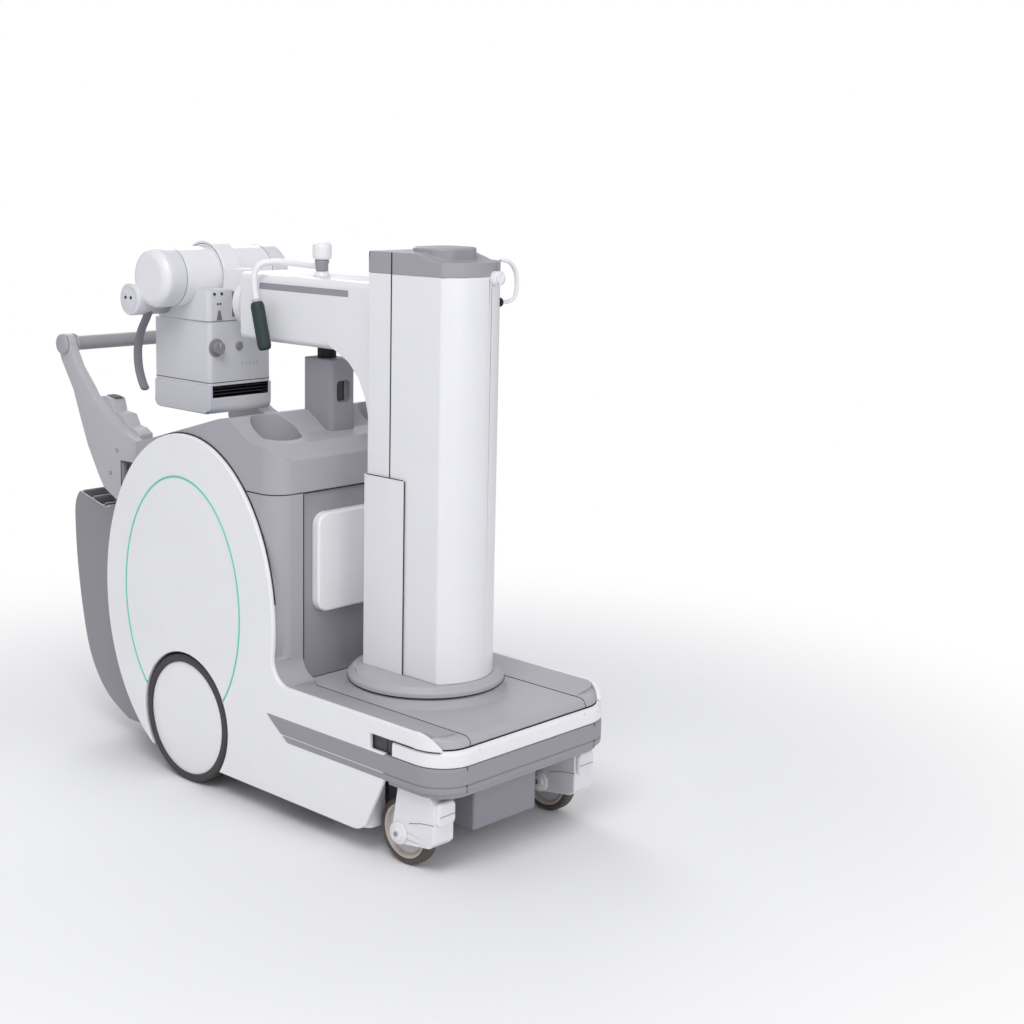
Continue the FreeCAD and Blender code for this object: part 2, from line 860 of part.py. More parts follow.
def rear_wheel(name, side):
    """Tyre, dished white disc and the stub axle that the motor turns."""
    centre = (0, side * (D.wheel_face - D.wheel_width), D.wheel_radius)
    rim = D.disc_radius
    tyre = Piece("drive_tyre_" + name, centre)
    edge = D.tyre_edge
    width = D.wheel_width
    tyre.turn("YZ", "H_Axis", outline(
        (0, rim), (side * width, rim), (side * width, D.wheel_radius - edge),
        (side * (width - edge), D.wheel_radius), (side * edge, D.wheel_radius),
        (0, D.wheel_radius - edge)))
    disc = Piece("drive_disc_" + name, centre)
    dish = D.disc_dish
    disc.turn("YZ", "H_Axis", outline(
        (0, 0), (side * width, 0), (side * (width - dish * 0.2), rim * 0.75),
        (side * (width - dish), rim), (0, rim)))
    seat = D.wheel_face - D.wheel_width - D.panel_half + D.axle_seat
    low, high = sided(side, -seat, 0) if side > 0 else (0, seat)
    disc.pad("XZ", low, high, circle(0, 0, D.axle_radius))


def caster(name, side):
    """Swivelling fork with its king pin, and the small wheel on its axle."""
    foot = (D.swivel_x, side * D.swivel_y, 0)
    half = D.caster_width / 2 + D.fork_gap
    outer = half + D.fork_wall
    fork = Piece("caster_fork_" + name, foot)
    trail = -D.caster_trail
    front = D.fork_front
    fork.pad("XZ", -outer, outer, outline(
        (trail - D.boss_radius, D.caster_radius - D.boss_radius * 0.4),
        (trail, D.caster_radius - D.boss_radius), (front - D.fork_nose, D.fork_low),
        (front, D.fork_low + D.fork_nose), (front, D.fork_top - D.fork_nose * 1.5),
        (front - D.fork_nose, D.fork_top), (-D.fork_back, D.fork_top)))
    clearance = D.caster_radius + D.fork_gap
    fork.cut("XZ", -half, half, circle(trail, D.caster_radius, clearance))
    fork.fillet(D.fork_gap, in_plane("X", front))
    fork.pad("XY", D.fork_top, D.band_bottom - D.fit_gap, circle(0, 0, D.boss_radius))
    fork.pad("XY", D.fork_top, D.band_bottom + D.kingpin_length - D.fit_gap,
             circle(0, 0, D.kingpin_radius))
    fork.pad("XZ", -outer - D.axle_head, outer + D.axle_head,
             circle(trail, D.caster_radius, D.caster_axle - D.bearing_gap))
    for low, high in ((-outer - D.axle_head, -outer), (outer, outer + D.axle_head)):
        fork.pad("XZ", low, high, circle(trail, D.caster_radius, D.boss_radius * 0.62))
    hub = (D.swivel_x - D.caster_trail, side * D.swivel_y, D.caster_radius)
    wide = D.caster_width / 2
    tyre = Piece("caster_tyre_" + name, hub)
    rim = D.caster_radius - D.caster_tread
    tyre.turn("YZ", "H_Axis", outline(
        (-wide, rim), (wide, rim), (wide, D.caster_radius - D.fork_gap),
        (wide * 0.5, D.caster_radius), (-wide * 0.5, D.caster_radius),
        (-wide, D.caster_radius - D.fork_gap)))
    wheel = Piece("caster_wheel_" + name, hub)
    web = wide * 0.4
    wheel.turn("YZ", "H_Axis", outline(
        (-wide, D.caster_axle), (wide, D.caster_axle), (wide, D.boss_radius),
        (web, D.boss_radius + D.fork_gap), (web, rim - D.fork_wall), (wide, rim - D.fork_gap),
        (wide, rim), (-wide, rim), (-wide, rim - D.fork_gap), (-web, rim - D.fork_wall),
        (-web, D.boss_radius + D.fork_gap), (-wide, D.boss_radius)))


def console_z(x):
    """Height of the sloping console surface at a place along X."""
    if value(x) >= value(D.dip_x):
        slope = (D.crest_rear_z - D.dip_z) / (D.crest_rear_x - D.dip_x)
    else:
        slope = (D.console_rear_z - D.dip_z) / (D.console_rear - D.dip_x)
    return D.dip_z + (x - D.dip_x) * slope


def console_layer(front, rear, low, high):
    """Side view of a layer that follows the console surface."""
    return outline(
        (rear, console_z(rear) + low), (D.dip_x, D.dip_z + low), (front, console_z(front) + low),
        (front, console_z(front) + high), (D.dip_x, D.dip_z + high),
        (rear, console_z(rear) + high))


def corner_cutter(x, y, radius, side):
    """Plan view of the waste outside a rounded corner."""
    return outline(
        (x - radius, side * y, radius * side), (x, side * (y - radius)),
        (x + radius, side * (y - radius)), (x + radius, side * (y + radius)),
        (x - radius, side * (y + radius)))


def top_cover():
    """Upper housing with the sloping console, the two cups and the overhang at the rear."""
    cover = Piece("top_cover")
    wide = D.half_width - D.cover_skin
    front = ((D.body_front, D.body_seam), (D.body_front, D.brow_z),
             (D.ledge_front, D.ledge_z - D.egg_lip), (D.ledge_rear, D.ledge_z),
             (D.crest_x + D.rack_margin, D.crest_z), (D.crest_x, D.crest_z),
             (D.crest_rear_x, D.crest_rear_z), (D.dip_x, D.dip_z),
             (D.cheek_seat, console_z(D.cheek_seat)))
    cover.pad("XZ", -wide, wide, outline(*front, (D.cheek_seat, D.body_seam)))
    for _, side in SIDES:
        cover.cut("XY", D.body_seam, D.crest_z,
                  corner_cutter(D.body_front, wide, D.body_corner, side))
    cover.pad("XZ", -D.cheek_in, D.cheek_in, outline(
        (D.cheek_seat, D.body_seam), (D.cheek_seat, console_z(D.cheek_seat)),
        (D.console_rear, D.console_rear_z),
        (D.hang_top_x, D.hang_top_z), (D.hang_low_x, D.hang_low_z),
        (D.pan_rear, D.hang_low_z), (D.pan_rear, D.body_seam)))
    for _, side in SIDES:
        cover.cut("XY", D.cup_floor, D.crest_z, circle(D.cup_x, side * D.cup_y, D.cup_radius))
    cover.cut("XY", D.post_foot, D.crest_z, post_plan())
    cover.cut("XZ", -D.glass_half, D.glass_half,
              console_layer(D.glass_front, D.glass_rear, -D.glass_thick, D.crest_z - D.dip_z))
    floor = console_z(D.power_x) - D.glass_thick * 1.5
    cover.cut("XY", floor, D.crest_z,
              circle(D.power_x, D.power_y, D.power_radius + D.bearing_gap))


def post_plan():
    return rounded(D.post_rear, D.post_front, D.post_right, D.post_left, D.post_rounding)


def console_pieces():
    glass = Piece("console_glass")
    glass.pad("XZ", -D.glass_half, D.glass_half,
              console_layer(D.glass_front, D.glass_rear, -D.glass_thick, 0))
    glass.cut("XY", D.dip_z, D.crest_z,
              circle(D.power_x, D.power_y, D.power_radius + D.bearing_gap))
    button = Piece("power_button", (D.power_x, D.power_y, console_z(D.power_x)))
    button.pad("XY", -D.glass_thick, D.glass_thick * 0.75, circle(0, 0, D.power_radius))
    button.chamfer(1, in_plane("Z", D.glass_thick * 0.75))


def rest_post():
    """White post on the cover and the black stop on which the parked arm lies."""
    post = Piece("rest_post")
    post.pad("XY", D.post_foot, D.post_top, post_plan())
    post.cut("YZ", D.post_front - D.socket_depth, D.post_front, rounded(
        D.post_right + D.post_rounding * 1.5, D.post_left - D.post_rounding * 1.5,
        D.socket_low, D.socket_high, D.post_rounding * 0.8))
    middle = (D.post_right + D.post_left) / 2
    stop = Piece("rest_stop", (D.stop_x + D.stop_radius, middle, 0))
    stop.pad("XY", D.post_top, D.arm_bottom - D.arm_rest_gap, circle(0, 0, D.stop_radius))
    stop.chamfer(2, in_plane("Z", D.arm_bottom - D.arm_rest_gap))


def cheek(name, side):
    """Side arm of the push handle."""
    low, high = sided(side, D.cheek_in, D.cheek_out)
    end = D.cheek_end_radius
    arm = Piece("handle_cheek_" + name)
    arm.pad("XZ", low, high, outline(
        (D.bar_x - end, D.bar_z), (D.bar_x + end, D.bar_z),
        *behind((185, 217), (131, 163), (110, 139), (64, 107), (18, 82), (-24, 67)),
        (D.cheek_seat, console_z(D.cheek_seat) - D.egg_lip), (D.cheek_seat, D.body_seam),
        *behind((0, 0), (0, -102), (26, -100), (76, -78), (97, -51), (143, 20), (174, 88),
                (202, 154), (253, 226))))
    arm.pad("XZ", low, high, circle(D.bar_x, D.bar_z, end))
    ear = sided(side, D.grip_in, D.cheek_in)
    foot = D.pan_rear + D.cheek_lap - 38
    arm.pad("XZ", ear[0], ear[1], outline(
        (D.console_rear, D.console_rear_z + D.fit_gap), (foot, console_z(foot) + D.fit_gap),
        (foot, D.body_seam + 67),
        *behind((-22, 79), (3, 82), (20, 108), (59, 113), (68, 143), (96, 148), (131, 142),
                (131, 53))))


def handle_bar():
    bar = Piece("handle_bar", (D.bar_x, 0, D.bar_z))
    bar.pad("XZ", -D.cheek_in, D.cheek_in, circle(0, 0, D.bar_radius))


def panel_place(up, across):
    """A place on the outer face of the rear panel, and the lean of its outward axis."""
    rise = value(D.hang_top_z) - value(D.hang_low_z)
    run = value(D.hang_low_x) - value(D.hang_top_x)
    slope = math.hypot(rise, run)
    lean = math.degrees(math.atan2(-rise, -run))
    out = (-rise / slope, -run / slope)
    middle_x = (D.hang_top_x + D.hang_low_x) / 2 + D.rear_panel_thick * out[0]
    middle_z = (D.hang_top_z + D.hang_low_z) / 2 + D.rear_panel_thick * out[1]
    return (middle_x - up * (run / slope), across, middle_z + up * (rise / slope)), lean


def rear_panel():
    """Dark panel under the console with the stop button, the hand switch and a pull."""
    place, lean = panel_place(0 * D.halt_up, 0)
    panel = Piece("rear_panel", place, lean)
    panel.pad("XY", -D.rear_panel_thick, 0, rectangle(
        -D.rear_panel_half, D.rear_panel_half, -D.cheek_in + D.fit_gap, D.cheek_in - D.fit_gap))
    panel.cut("XY", -D.rear_panel_thick, 0,
              circle(D.halt_up, D.halt_y, D.halt_stem + D.bearing_gap))

    place, lean = panel_place(D.halt_up, D.halt_y)
    halt = Piece("emergency_stop", place, lean)
    low = D.halt_stroke - D.rear_panel_thick + 1
    halt.turn("XZ", "V_Axis", outline(
        (0, low), (D.halt_stem, low), (D.halt_stem, D.halt_stroke + 2),
        (D.halt_radius, D.halt_stroke + 2), (D.halt_radius, D.halt_stroke + 10),
        (D.halt_radius - 5, D.halt_stroke + 16), (0, D.halt_stroke + 16)))

    place, lean = panel_place(D.switch_up, D.switch_y)
    holder = Piece("switch_holder", place, lean)
    holder.turn("XZ", "V_Axis", outline(
        (0, 0), (D.switch_radius + 5, 0), (D.switch_radius + 5, 20),
        (D.switch_radius + D.bearing_gap, 20), (D.switch_radius + D.bearing_gap, 6), (0, 6)))
    switch = Piece("hand_switch", place, lean)
    switch.turn("XZ", "V_Axis", outline(
        (0, 6 + D.fit_gap), (D.switch_radius, 6 + D.fit_gap), (D.switch_radius, 40),
        (D.switch_radius - 4, 46), (0, 46)))

    place, lean = panel_place(D.switch_up, D.pull_y)
    pull = Piece("rear_pull", place, lean)
    inner = D.pull_half - 10
    pull.pad("YZ", -8, 8, outline(
        (-D.pull_half, 0), (-inner, 0), (-inner, D.pull_reach - 10), (inner, D.pull_reach - 10),
        (inner, 0), (D.pull_half, 0), (D.pull_half, D.pull_reach - 8),
        (D.pull_half - 8, D.pull_reach), (8 - D.pull_half, D.pull_reach),
        (-D.pull_half, D.pull_reach - 8)))


def detector_bin():
    """Curved box behind the body with two slots for detector plates."""
    holder = Piece("detector_bin")
    holder.pad("XZ", -D.bin_half, D.bin_half, outline(
        *behind((0, -685), (60, -685), (143, -645), (199, -590), (236, -519), (262, -411),
                (278, -300), (284, -189), (262, -120), (146, -147)),
        (D.pan_rear - 56, D.hang_low_z), (D.pan_rear, D.hang_low_z)))
    for rear, floor in ((D.bin_slot_rear, D.bin_outer_floor),
                        (D.bin_slot_rear + D.bin_slot + D.bin_wall, D.bin_floor)):
        holder.cut("XY", floor, D.hang_low_z, rectangle(
            rear, rear + D.bin_slot, D.bin_wall - D.bin_half, D.bin_half - D.bin_wall))


def turntable():
    """Turning disc that rests on the plinth with its bearing boss."""
    table = Piece("turntable", (D.turn_x, 0, 0))
    table.turn("XZ", "V_Axis", outline(
        (0, D.plinth_top), (D.race_radius, D.plinth_top), (D.race_radius, D.disc_bottom),
        (D.disc_edge, D.disc_bottom), (D.disc_edge, D.disc_rim),
        (D.disc_edge - D.post_rounding, D.disc_top), (0, D.disc_top)))


def mast_plan():
    """Plan view of the front half of the column, with its bowed front face."""
    return outline(
        (D.mast_split, -D.column_half), (D.column_shoulder, -D.column_half, -D.column_rounding),
        (D.column_face_x, -D.column_face_half, -D.column_face_radius),
        (D.column_face_x, D.column_face_half, -D.column_rounding),
        (D.column_shoulder, D.column_half), (D.mast_split, D.column_half))


def fixed_mast():
    """Front half of the column with the rail on its rear face, its cap and the side peg."""
    mast = Piece("fixed_mast")
    mast.pad("XY", D.disc_top, D.column_top, mast_plan())
    mast.pad("XY", D.disc_top, D.column_top - D.slide_gap,
             rectangle(D.mast_split - D.rail_depth, D.mast_split, -D.rail_half, D.rail_half))
    cap = Piece("column_cap")
    cap.pad("XY", D.column_top, D.cap_top, mast_plan())
    beyond = D.column_front + D.cap_edge
    cap.cut("XZ", -D.column_half, D.column_half, outline(
        (D.cap_brow, D.cap_top), (D.cap_knee, D.cap_knee_z), (beyond, D.cap_nose_z),
        (beyond, D.cap_top)))
    cap.pad("XY", D.column_top, D.dome_top,
            rounded(D.dome_rear, D.dome_front, -D.dome_half, D.dome_half, D.dome_corner))
    cap.fillet(D.cap_edge, in_plane("Z", D.dome_top))

    seat = D.column_front - D.peg_seat
    bore = circle(D.peg_y, D.peg_z, D.knob_radius + D.bearing_gap)
    mast.cut("YZ", seat, D.column_front, bore)
    cap.cut("YZ", seat, D.column_front, bore)
    peg = Piece("column_peg", (seat, D.peg_y, D.peg_z))
    length = D.knob_radius + D.peg_seat
    peg.pad("YZ", 0, length, circle(0, 0, D.knob_radius))
    peg.chamfer(2, in_plane("X", length))


def rear_sleeve():
    """Fixed shell round the lower part of the moving mast."""
    sleeve = Piece("rear_sleeve")
    outer_x = D.column_rear - D.slide_gap - D.sleeve_wall
    inner_x = D.column_rear - D.slide_gap
    inner_y = D.column_half + D.slide_gap
    outer_y = inner_y + D.sleeve_wall
    sleeve.pad("XY", D.disc_top, D.sleeve_top, outline(
        (outer_x, -outer_y), (D.sleeve_front, -outer_y), (D.sleeve_front, -inner_y),
        (inner_x, -inner_y), (inner_x, inner_y), (D.sleeve_front, inner_y),
        (D.sleeve_front, outer_y), (outer_x, outer_y)))


def moving_mast():
    """Rear half of the column that rises, and its cap."""
    mast = Piece("moving_mast")
    rail = D.rail_half + D.slide_gap
    face = D.mast_split - D.slide_gap
    mast.pad("XY", D.mast_foot, D.column_top, outline(
        (D.column_rear, -D.column_half), (face, -D.column_half), (face, -rail),
        (face - D.rail_depth, -rail), (face - D.rail_depth, rail), (face, rail),
        (face, D.column_half), (D.column_rear, D.column_half)))
    cap = Piece("carriage_cap")
    cap.pad("XY", D.column_top, D.cap_top,
            rectangle(D.column_rear, face, -D.column_half, D.column_half))
    cap.fillet(D.cap_edge, along("Y", (D.column_rear, D.cap_top)))


def arm_housing():
    """Outer arm with the curved bracket under it, the hollow for the inner arm and the
    side stripes."""
    arm = Piece("arm_housing")
    arm.pad("XZ", -D.arm_half, D.arm_half, outline(
        (D.arm_end, D.arm_bottom), (D.arm_flat, D.arm_bottom), (347, 1024), (380, 993),
        (403, 950), (415, 904), (420, 853), (420, D.bracket_low), (D.column_rear, D.bracket_low),
        (D.column_rear, D.arm_top), (D.arm_end, D.arm_top)))
    arm.fillet(D.arm_rounding, along("X", (D.arm_half, D.arm_top), (-D.arm_half, D.arm_top)))
    arm.fillet(D.arm_rounding, along("X", (D.arm_half, D.arm_bottom), (-D.arm_half, D.arm_bottom)))
    room_y = D.inner_half + D.slide_gap
    room_z = D.inner_height / 2 + D.slide_gap
    arm.cut("YZ", D.arm_end, D.arm_hollow,
            rectangle(-room_y, room_y, D.arm_axis - room_z, D.arm_axis + room_z))
    stripe = rectangle(D.stripe_rear, D.stripe_front, D.stripe_top - D.stripe_height, D.stripe_top)
    stripes = Piece("arm_stripes")
    for _, side in SIDES:
        low, high = sided(side, D.arm_half - D.stripe_depth, D.arm_half)
        arm.cut("XZ", low, high, stripe)
        stripes.pad("XZ", low, high, stripe)
    arm.pad("XY", D.arm_top, D.lever_foot - D.fit_gap,
            circle(D.lever_x, D.lever_y, D.lever_hub))
    arm.pad("XY", D.arm_top, D.lever_top - D.lever_hub,
            circle(D.lever_x, D.lever_y, D.lever_pin))


def release_lever():
    """Bent tube on the arm with its grip hanging beside the arm."""
    lever = Piece("release_lever")
    lever.pad("XY", D.lever_foot, D.lever_top, circle(D.lever_x, D.lever_y, D.lever_hub))
    lever.pad("YZ", D.grip_x, D.lever_x, circle(D.lever_y, D.lever_z, D.lever_tube))
    lever.pad("XZ", D.grip_y, D.lever_y, circle(D.grip_x, D.lever_z, D.lever_tube))
    lever.pad("XY", D.grip_high, D.lever_z + D.lever_tube,
              circle(D.grip_x, D.grip_y, D.lever_tube))
    lever.pad("XY", D.lever_z - D.lever_tube, D.lever_z + D.lever_tube,
              circle(D.grip_x, D.lever_y, D.lever_tube))
    lever.cut("XY", D.lever_foot, D.lever_top - D.lever_hub + D.fit_gap,
              circle(D.lever_x, D.lever_y, D.lever_pin + D.bearing_gap))
    grip = Piece("release_grip", (D.grip_x, D.grip_y, 0))
    grip.pad("XY", D.grip_low, D.grip_high, circle(0, 0, D.grip_radius))
    grip.fillet(D.grip_radius * 0.4, in_plane("Z", D.grip_low, D.grip_high))


def inner_arm():
    arm = Piece("inner_arm", (0, 0, D.arm_axis))
    face = D.arm_end - 1
    arm.pad("YZ", face, D.inner_rear,
            rectangle(-D.inner_half, D.inner_half, -D.inner_height / 2, D.inner_height / 2))
    arm.pad("YZ", face - D.flange_thick, face, circle(0, 0, D.flange_radius))


def tube_carrier():
    """Turning plate on the arm's end and the ring that holds the tube."""
    carrier = Piece("tube_carrier")
    front = D.arm_end - 1 - D.flange_thick
    rear = front - D.carrier_thick
    carrier.pad("YZ", rear, front, circle(0, D.arm_axis, D.flange_radius))
    carrier.pad("XZ", -D.ring_half, D.ring_half,
                rectangle(D.tube_x, rear, D.bridge_low, D.bridge_high))
    carrier.pad("XZ", -D.ring_half, D.ring_half, circle(D.tube_x, D.tube_z, D.ring_radius))
    carrier.cut("XZ", -D.ring_half, D.ring_half,
                circle(D.tube_x, D.tube_z, D.tube_radius + D.ring_gap))


def tube_head():
    """Round tube housing, the cradle under it and the two head handles."""
    housing = Piece("tube_housing", (D.tube_x, 0, D.tube_z))
    left, right, radius, cap = D.tube_left, D.tube_right, D.tube_radius, D.tube_cap
    housing.turn("YZ", "H_Axis", outline(
        (-right, 0), (left, 0), (left, radius - cap, -cap), (left - cap, radius),
        (cap - right, radius, -cap), (-right, radius - cap)))

    cradle = Piece("tube_cradle")
    cradle.pad("XZ", -D.band_half, D.band_half,
               rectangle(D.band_back, D.band_face, D.band_low, D.band_high))
    cradle.fillet(D.collimator_edge, along("Z"))
    cradle.cut("XZ", -D.band_half, D.band_half,
               circle(D.tube_x, D.tube_z, D.tube_radius + D.bearing_gap))
    slot = D.ring_half + D.slide_gap
    cradle.cut("XZ", -slot, slot, circle(D.tube_x, D.tube_z, D.ring_radius + D.slide_gap))
    cradle.cut("XZ", -slot, slot, rectangle(
        D.cradle_slot, D.band_face, D.cradle_slot_low, D.band_high))

    cradle.cut("XY", D.band_low, D.collimator_top + D.pivot_length + D.slide_gap,
               circle(D.tube_x, 0, D.pivot_radius + D.bearing_gap))

    for name, side in SIDES:
        handle = Piece("head_handle_" + name)
        low, high = sided(side, D.band_half, D.band_half + D.hub_length)
        handle.pad("XZ", low, high, circle(D.hub_x, D.hub_z, D.hub_radius))
        rod = sided(side, D.rod_y - D.rod_half, D.rod_y + D.rod_half)
        handle.pad("XZ", rod[0], rod[1], outline(*ribbon(
            value(D.rod_thick),
            (-272, 1140), (-280, 1098), (-316, 1063), (-338, 1011), (-336, 956), (-309, 902))))
        handle.cut("XZ", low, high,
                   circle(D.tube_x, D.tube_z, D.tube_radius + D.bearing_gap))


def collimator():
    """Beam limiter: the upper and lower boxes with the knob and the light button."""
    upper = Piece("collimator_upper", (D.tube_x, 0, 0))
    half_x, half_y = D.collimator_half_x, D.collimator_half_y
    edge = D.collimator_edge
    upper.pad("XY", D.collimator_seam, D.collimator_top,
              rounded(-half_x, half_x, -half_y, half_y, edge))
    upper.pad("XY", D.collimator_top, D.collimator_top + D.pivot_length,
              circle(0, 0, D.pivot_radius))
    bore = D.button_radius + D.bearing_gap
    upper.cut("YZ", half_x - edge, half_x, circle(D.button_y, D.knob_z, bore))

    lower = Piece("collimator_lower", (D.tube_x, 0, 0))
    corner = D.collimator_corner
    low = D.collimator_bottom
    lower.pad("XZ", -half_y, half_y, outline(
        (corner - half_x, low), (half_x - corner, low, -corner), (half_x, low + corner),
        (half_x, D.collimator_seam), (-half_x, D.collimator_seam),
        (-half_x, low + corner, -corner)))
    lower.cut("YZ", half_x - D.slot_depth, half_x,
              rectangle(-D.slot_half, D.slot_half, D.slot_low, D.collimator_seam))

    knob = Piece("collimator_knob", (D.tube_x + half_x, D.knob_y, D.knob_z))
    knob.pad("YZ", D.slide_gap, D.knob_radius * 1.3, circle(0, 0, D.knob_radius))
    knob.chamfer(2, in_plane("X", D.knob_radius * 1.3))
    button = Piece("light_button", (D.tube_x + half_x, D.button_y, D.knob_z))
    button.pad("YZ", D.button_travel + 1 - edge, D.button_travel + 1, circle(0, 0, D.button_radius))
    button.chamfer(1, in_plane("X", D.button_travel + 1))


def finish():
    """Checks every object and writes each sub-part's solid."""
    doc.recompute()
    for thing in doc.Objects:
        if "Invalid" in thing.State or "Error" in thing.State:
            raise RuntimeError(thing.Label + " failed: " + str(thing.State))
    pieces = [thing for thing in doc.Objects if thing.TypeId == "PartDesign::Body"]
    for piece in pieces:
        shape = piece.Shape
        if shape.isNull() or not shape.isValid() or not shape.Solids:
            raise RuntimeError(piece.Label + " has no valid solid")
    os.makedirs("parts", exist_ok=True)
    for piece in pieces:
        piece.Shape.exportStep(os.path.join("parts", piece.Label + ".step"))
    print(len(pieces), "sub-parts written")


def main():
    chassis_frame()
    power_pieces()
    for name, side in SIDES:
        side_shell(name, side)
        side_cover(name, side)
        rear_wheel(name, side)
        caster(name, side)
        cheek(name, side)
    accent_trim()
    bumper_pieces()
    under_box()
    deck_slab()
    front_panel()
    top_cover()
    console_pieces()
    rest_post()
    handle_bar()
    rear_panel()
    detector_bin()
    turntable()
    fixed_mast()
    rear_sleeve()
    moving_mast()
    arm_housing()
    release_lever()
    inner_arm()
    tube_carrier()
    tube_head()
    collimator()
    finish()


main()
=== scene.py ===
import math

import bmesh
import bpy
from mathutils import Matrix, Vector


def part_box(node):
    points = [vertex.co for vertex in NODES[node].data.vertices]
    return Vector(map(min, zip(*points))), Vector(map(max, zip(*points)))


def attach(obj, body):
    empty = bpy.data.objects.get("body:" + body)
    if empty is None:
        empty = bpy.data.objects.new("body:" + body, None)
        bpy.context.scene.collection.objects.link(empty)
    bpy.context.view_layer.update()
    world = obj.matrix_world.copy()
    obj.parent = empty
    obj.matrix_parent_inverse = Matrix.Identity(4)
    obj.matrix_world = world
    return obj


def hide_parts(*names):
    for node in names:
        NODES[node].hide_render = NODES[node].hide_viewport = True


# Looks of the mobile radiography unit: camera and light, finishes, the dressed frame nodes, and
# the pieces modelled here. Places for at(), skin() and rail() are in millimetres, and other
# lengths are in metres.

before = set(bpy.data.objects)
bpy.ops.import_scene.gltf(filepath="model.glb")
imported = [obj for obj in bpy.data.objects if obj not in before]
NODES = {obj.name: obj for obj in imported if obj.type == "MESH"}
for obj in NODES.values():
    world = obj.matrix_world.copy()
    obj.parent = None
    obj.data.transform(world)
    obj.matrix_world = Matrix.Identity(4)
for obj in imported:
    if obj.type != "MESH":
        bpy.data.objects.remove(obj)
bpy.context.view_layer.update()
SIDES = (("left", 1), ("right", -1))
AXLE_X = (sum(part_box("drive_tyre_left"), Vector()) / 2).x


def at(x, y, z):
    """A place given in millimetres forward of, left of and above the rear axle's floor point."""
    return Vector((AXLE_X + x / 1000, y / 1000, z / 1000))


# Camera

CAMERA_PLACE = at(3139.9, -2622.8, 1465.1)
CAMERA_TURN = 44.816
CAMERA_DROP = 9.918
CAMERA_ROLL = 0.778
FOCAL_PIXELS = 1699.7
PICTURE_PIXELS = 1024
AXIS_PIXEL = (430, 460)


def make_camera():
    """The photo's camera, solved from its straight edges and round wheels."""
    data = bpy.data.cameras.new("camera")
    data.sensor_width = 36
    data.lens = FOCAL_PIXELS / PICTURE_PIXELS * data.sensor_width
    data.shift_x = (PICTURE_PIXELS / 2 - AXIS_PIXEL[0]) / PICTURE_PIXELS
    data.shift_y = (AXIS_PIXEL[1] - PICTURE_PIXELS / 2) / PICTURE_PIXELS
    data.clip_end = 60
    camera = bpy.data.objects.new("camera", data)
    turn, drop, roll = (math.radians(v) for v in (CAMERA_TURN, CAMERA_DROP, CAMERA_ROLL))
    back = Vector((math.sin(turn) * math.cos(drop), -math.cos(turn) * math.cos(drop),
                   math.sin(drop)))
    right = Vector((math.cos(turn), math.sin(turn), 0))
    up = back.cross(right)
    side = right * math.cos(roll) + up * math.sin(roll)
    top = up * math.cos(roll) - right * math.sin(roll)
    basis = Matrix((side, top, back)).transposed().to_4x4()
    camera.matrix_world = Matrix.Translation(CAMERA_PLACE) @ basis
    bpy.context.scene.collection.objects.link(camera)
    bpy.context.scene.camera = camera


# Light, floor and background

def make_lamp(name, place, target, size, power):
    data = bpy.data.lights.new(name, "AREA")
    data.shape = "DISK"
    data.size = size
    data.energy = power
    lamp = bpy.data.objects.new(name, data)
    lamp.location = place
    lamp.rotation_mode = "QUATERNION"
    lamp.rotation_quaternion = (target - place).to_track_quat("-Z", "Y")
    bpy.context.scene.collection.objects.link(lamp)


def feed(tree, shader, sockets):
    """Sets a shader node's inputs to values, or links them to other nodes' outputs."""
    for socket, value in sockets.items():
        if isinstance(value, bpy.types.NodeSocket):
            tree.links.new(value, shader.inputs[socket])
        else:
            shader.inputs[socket].default_value = value


def add_shader(tree, kind, sockets=None, **settings):
    shader = tree.nodes.new("ShaderNode" + kind)
    for name, value in settings.items():
        setattr(shader, name, value)
    feed(tree, shader, sockets or {})
    return shader


def make_world():
    world = bpy.data.worlds.new("studio")
    world.use_nodes = True
    tree = world.node_tree
    tree.nodes.clear()
    seen = add_shader(tree, "Background", {"Color": (1, 1, 1, 1), "Strength": 1.0})
    ambient = add_shader(tree, "Background", {"Color": (0.96, 0.97, 1.0, 1), "Strength": 0.52})
    path = add_shader(tree, "LightPath")
    direct = add_shader(tree, "Math", {0: path.outputs["Is Camera Ray"],
                                       1: path.outputs["Is Transmission Ray"]},
                        operation="MAXIMUM")
    mix = add_shader(tree, "MixShader", {0: direct.outputs[0], 1: ambient.outputs[0],
                                         2: seen.outputs[0]})
    add_shader(tree, "OutputWorld", {"Surface": mix.outputs[0]})
    bpy.context.scene.world = world


FLOOR_REACH = 14
FLOOR_NEAR = 0.95
FLOOR_FAR = 2.3


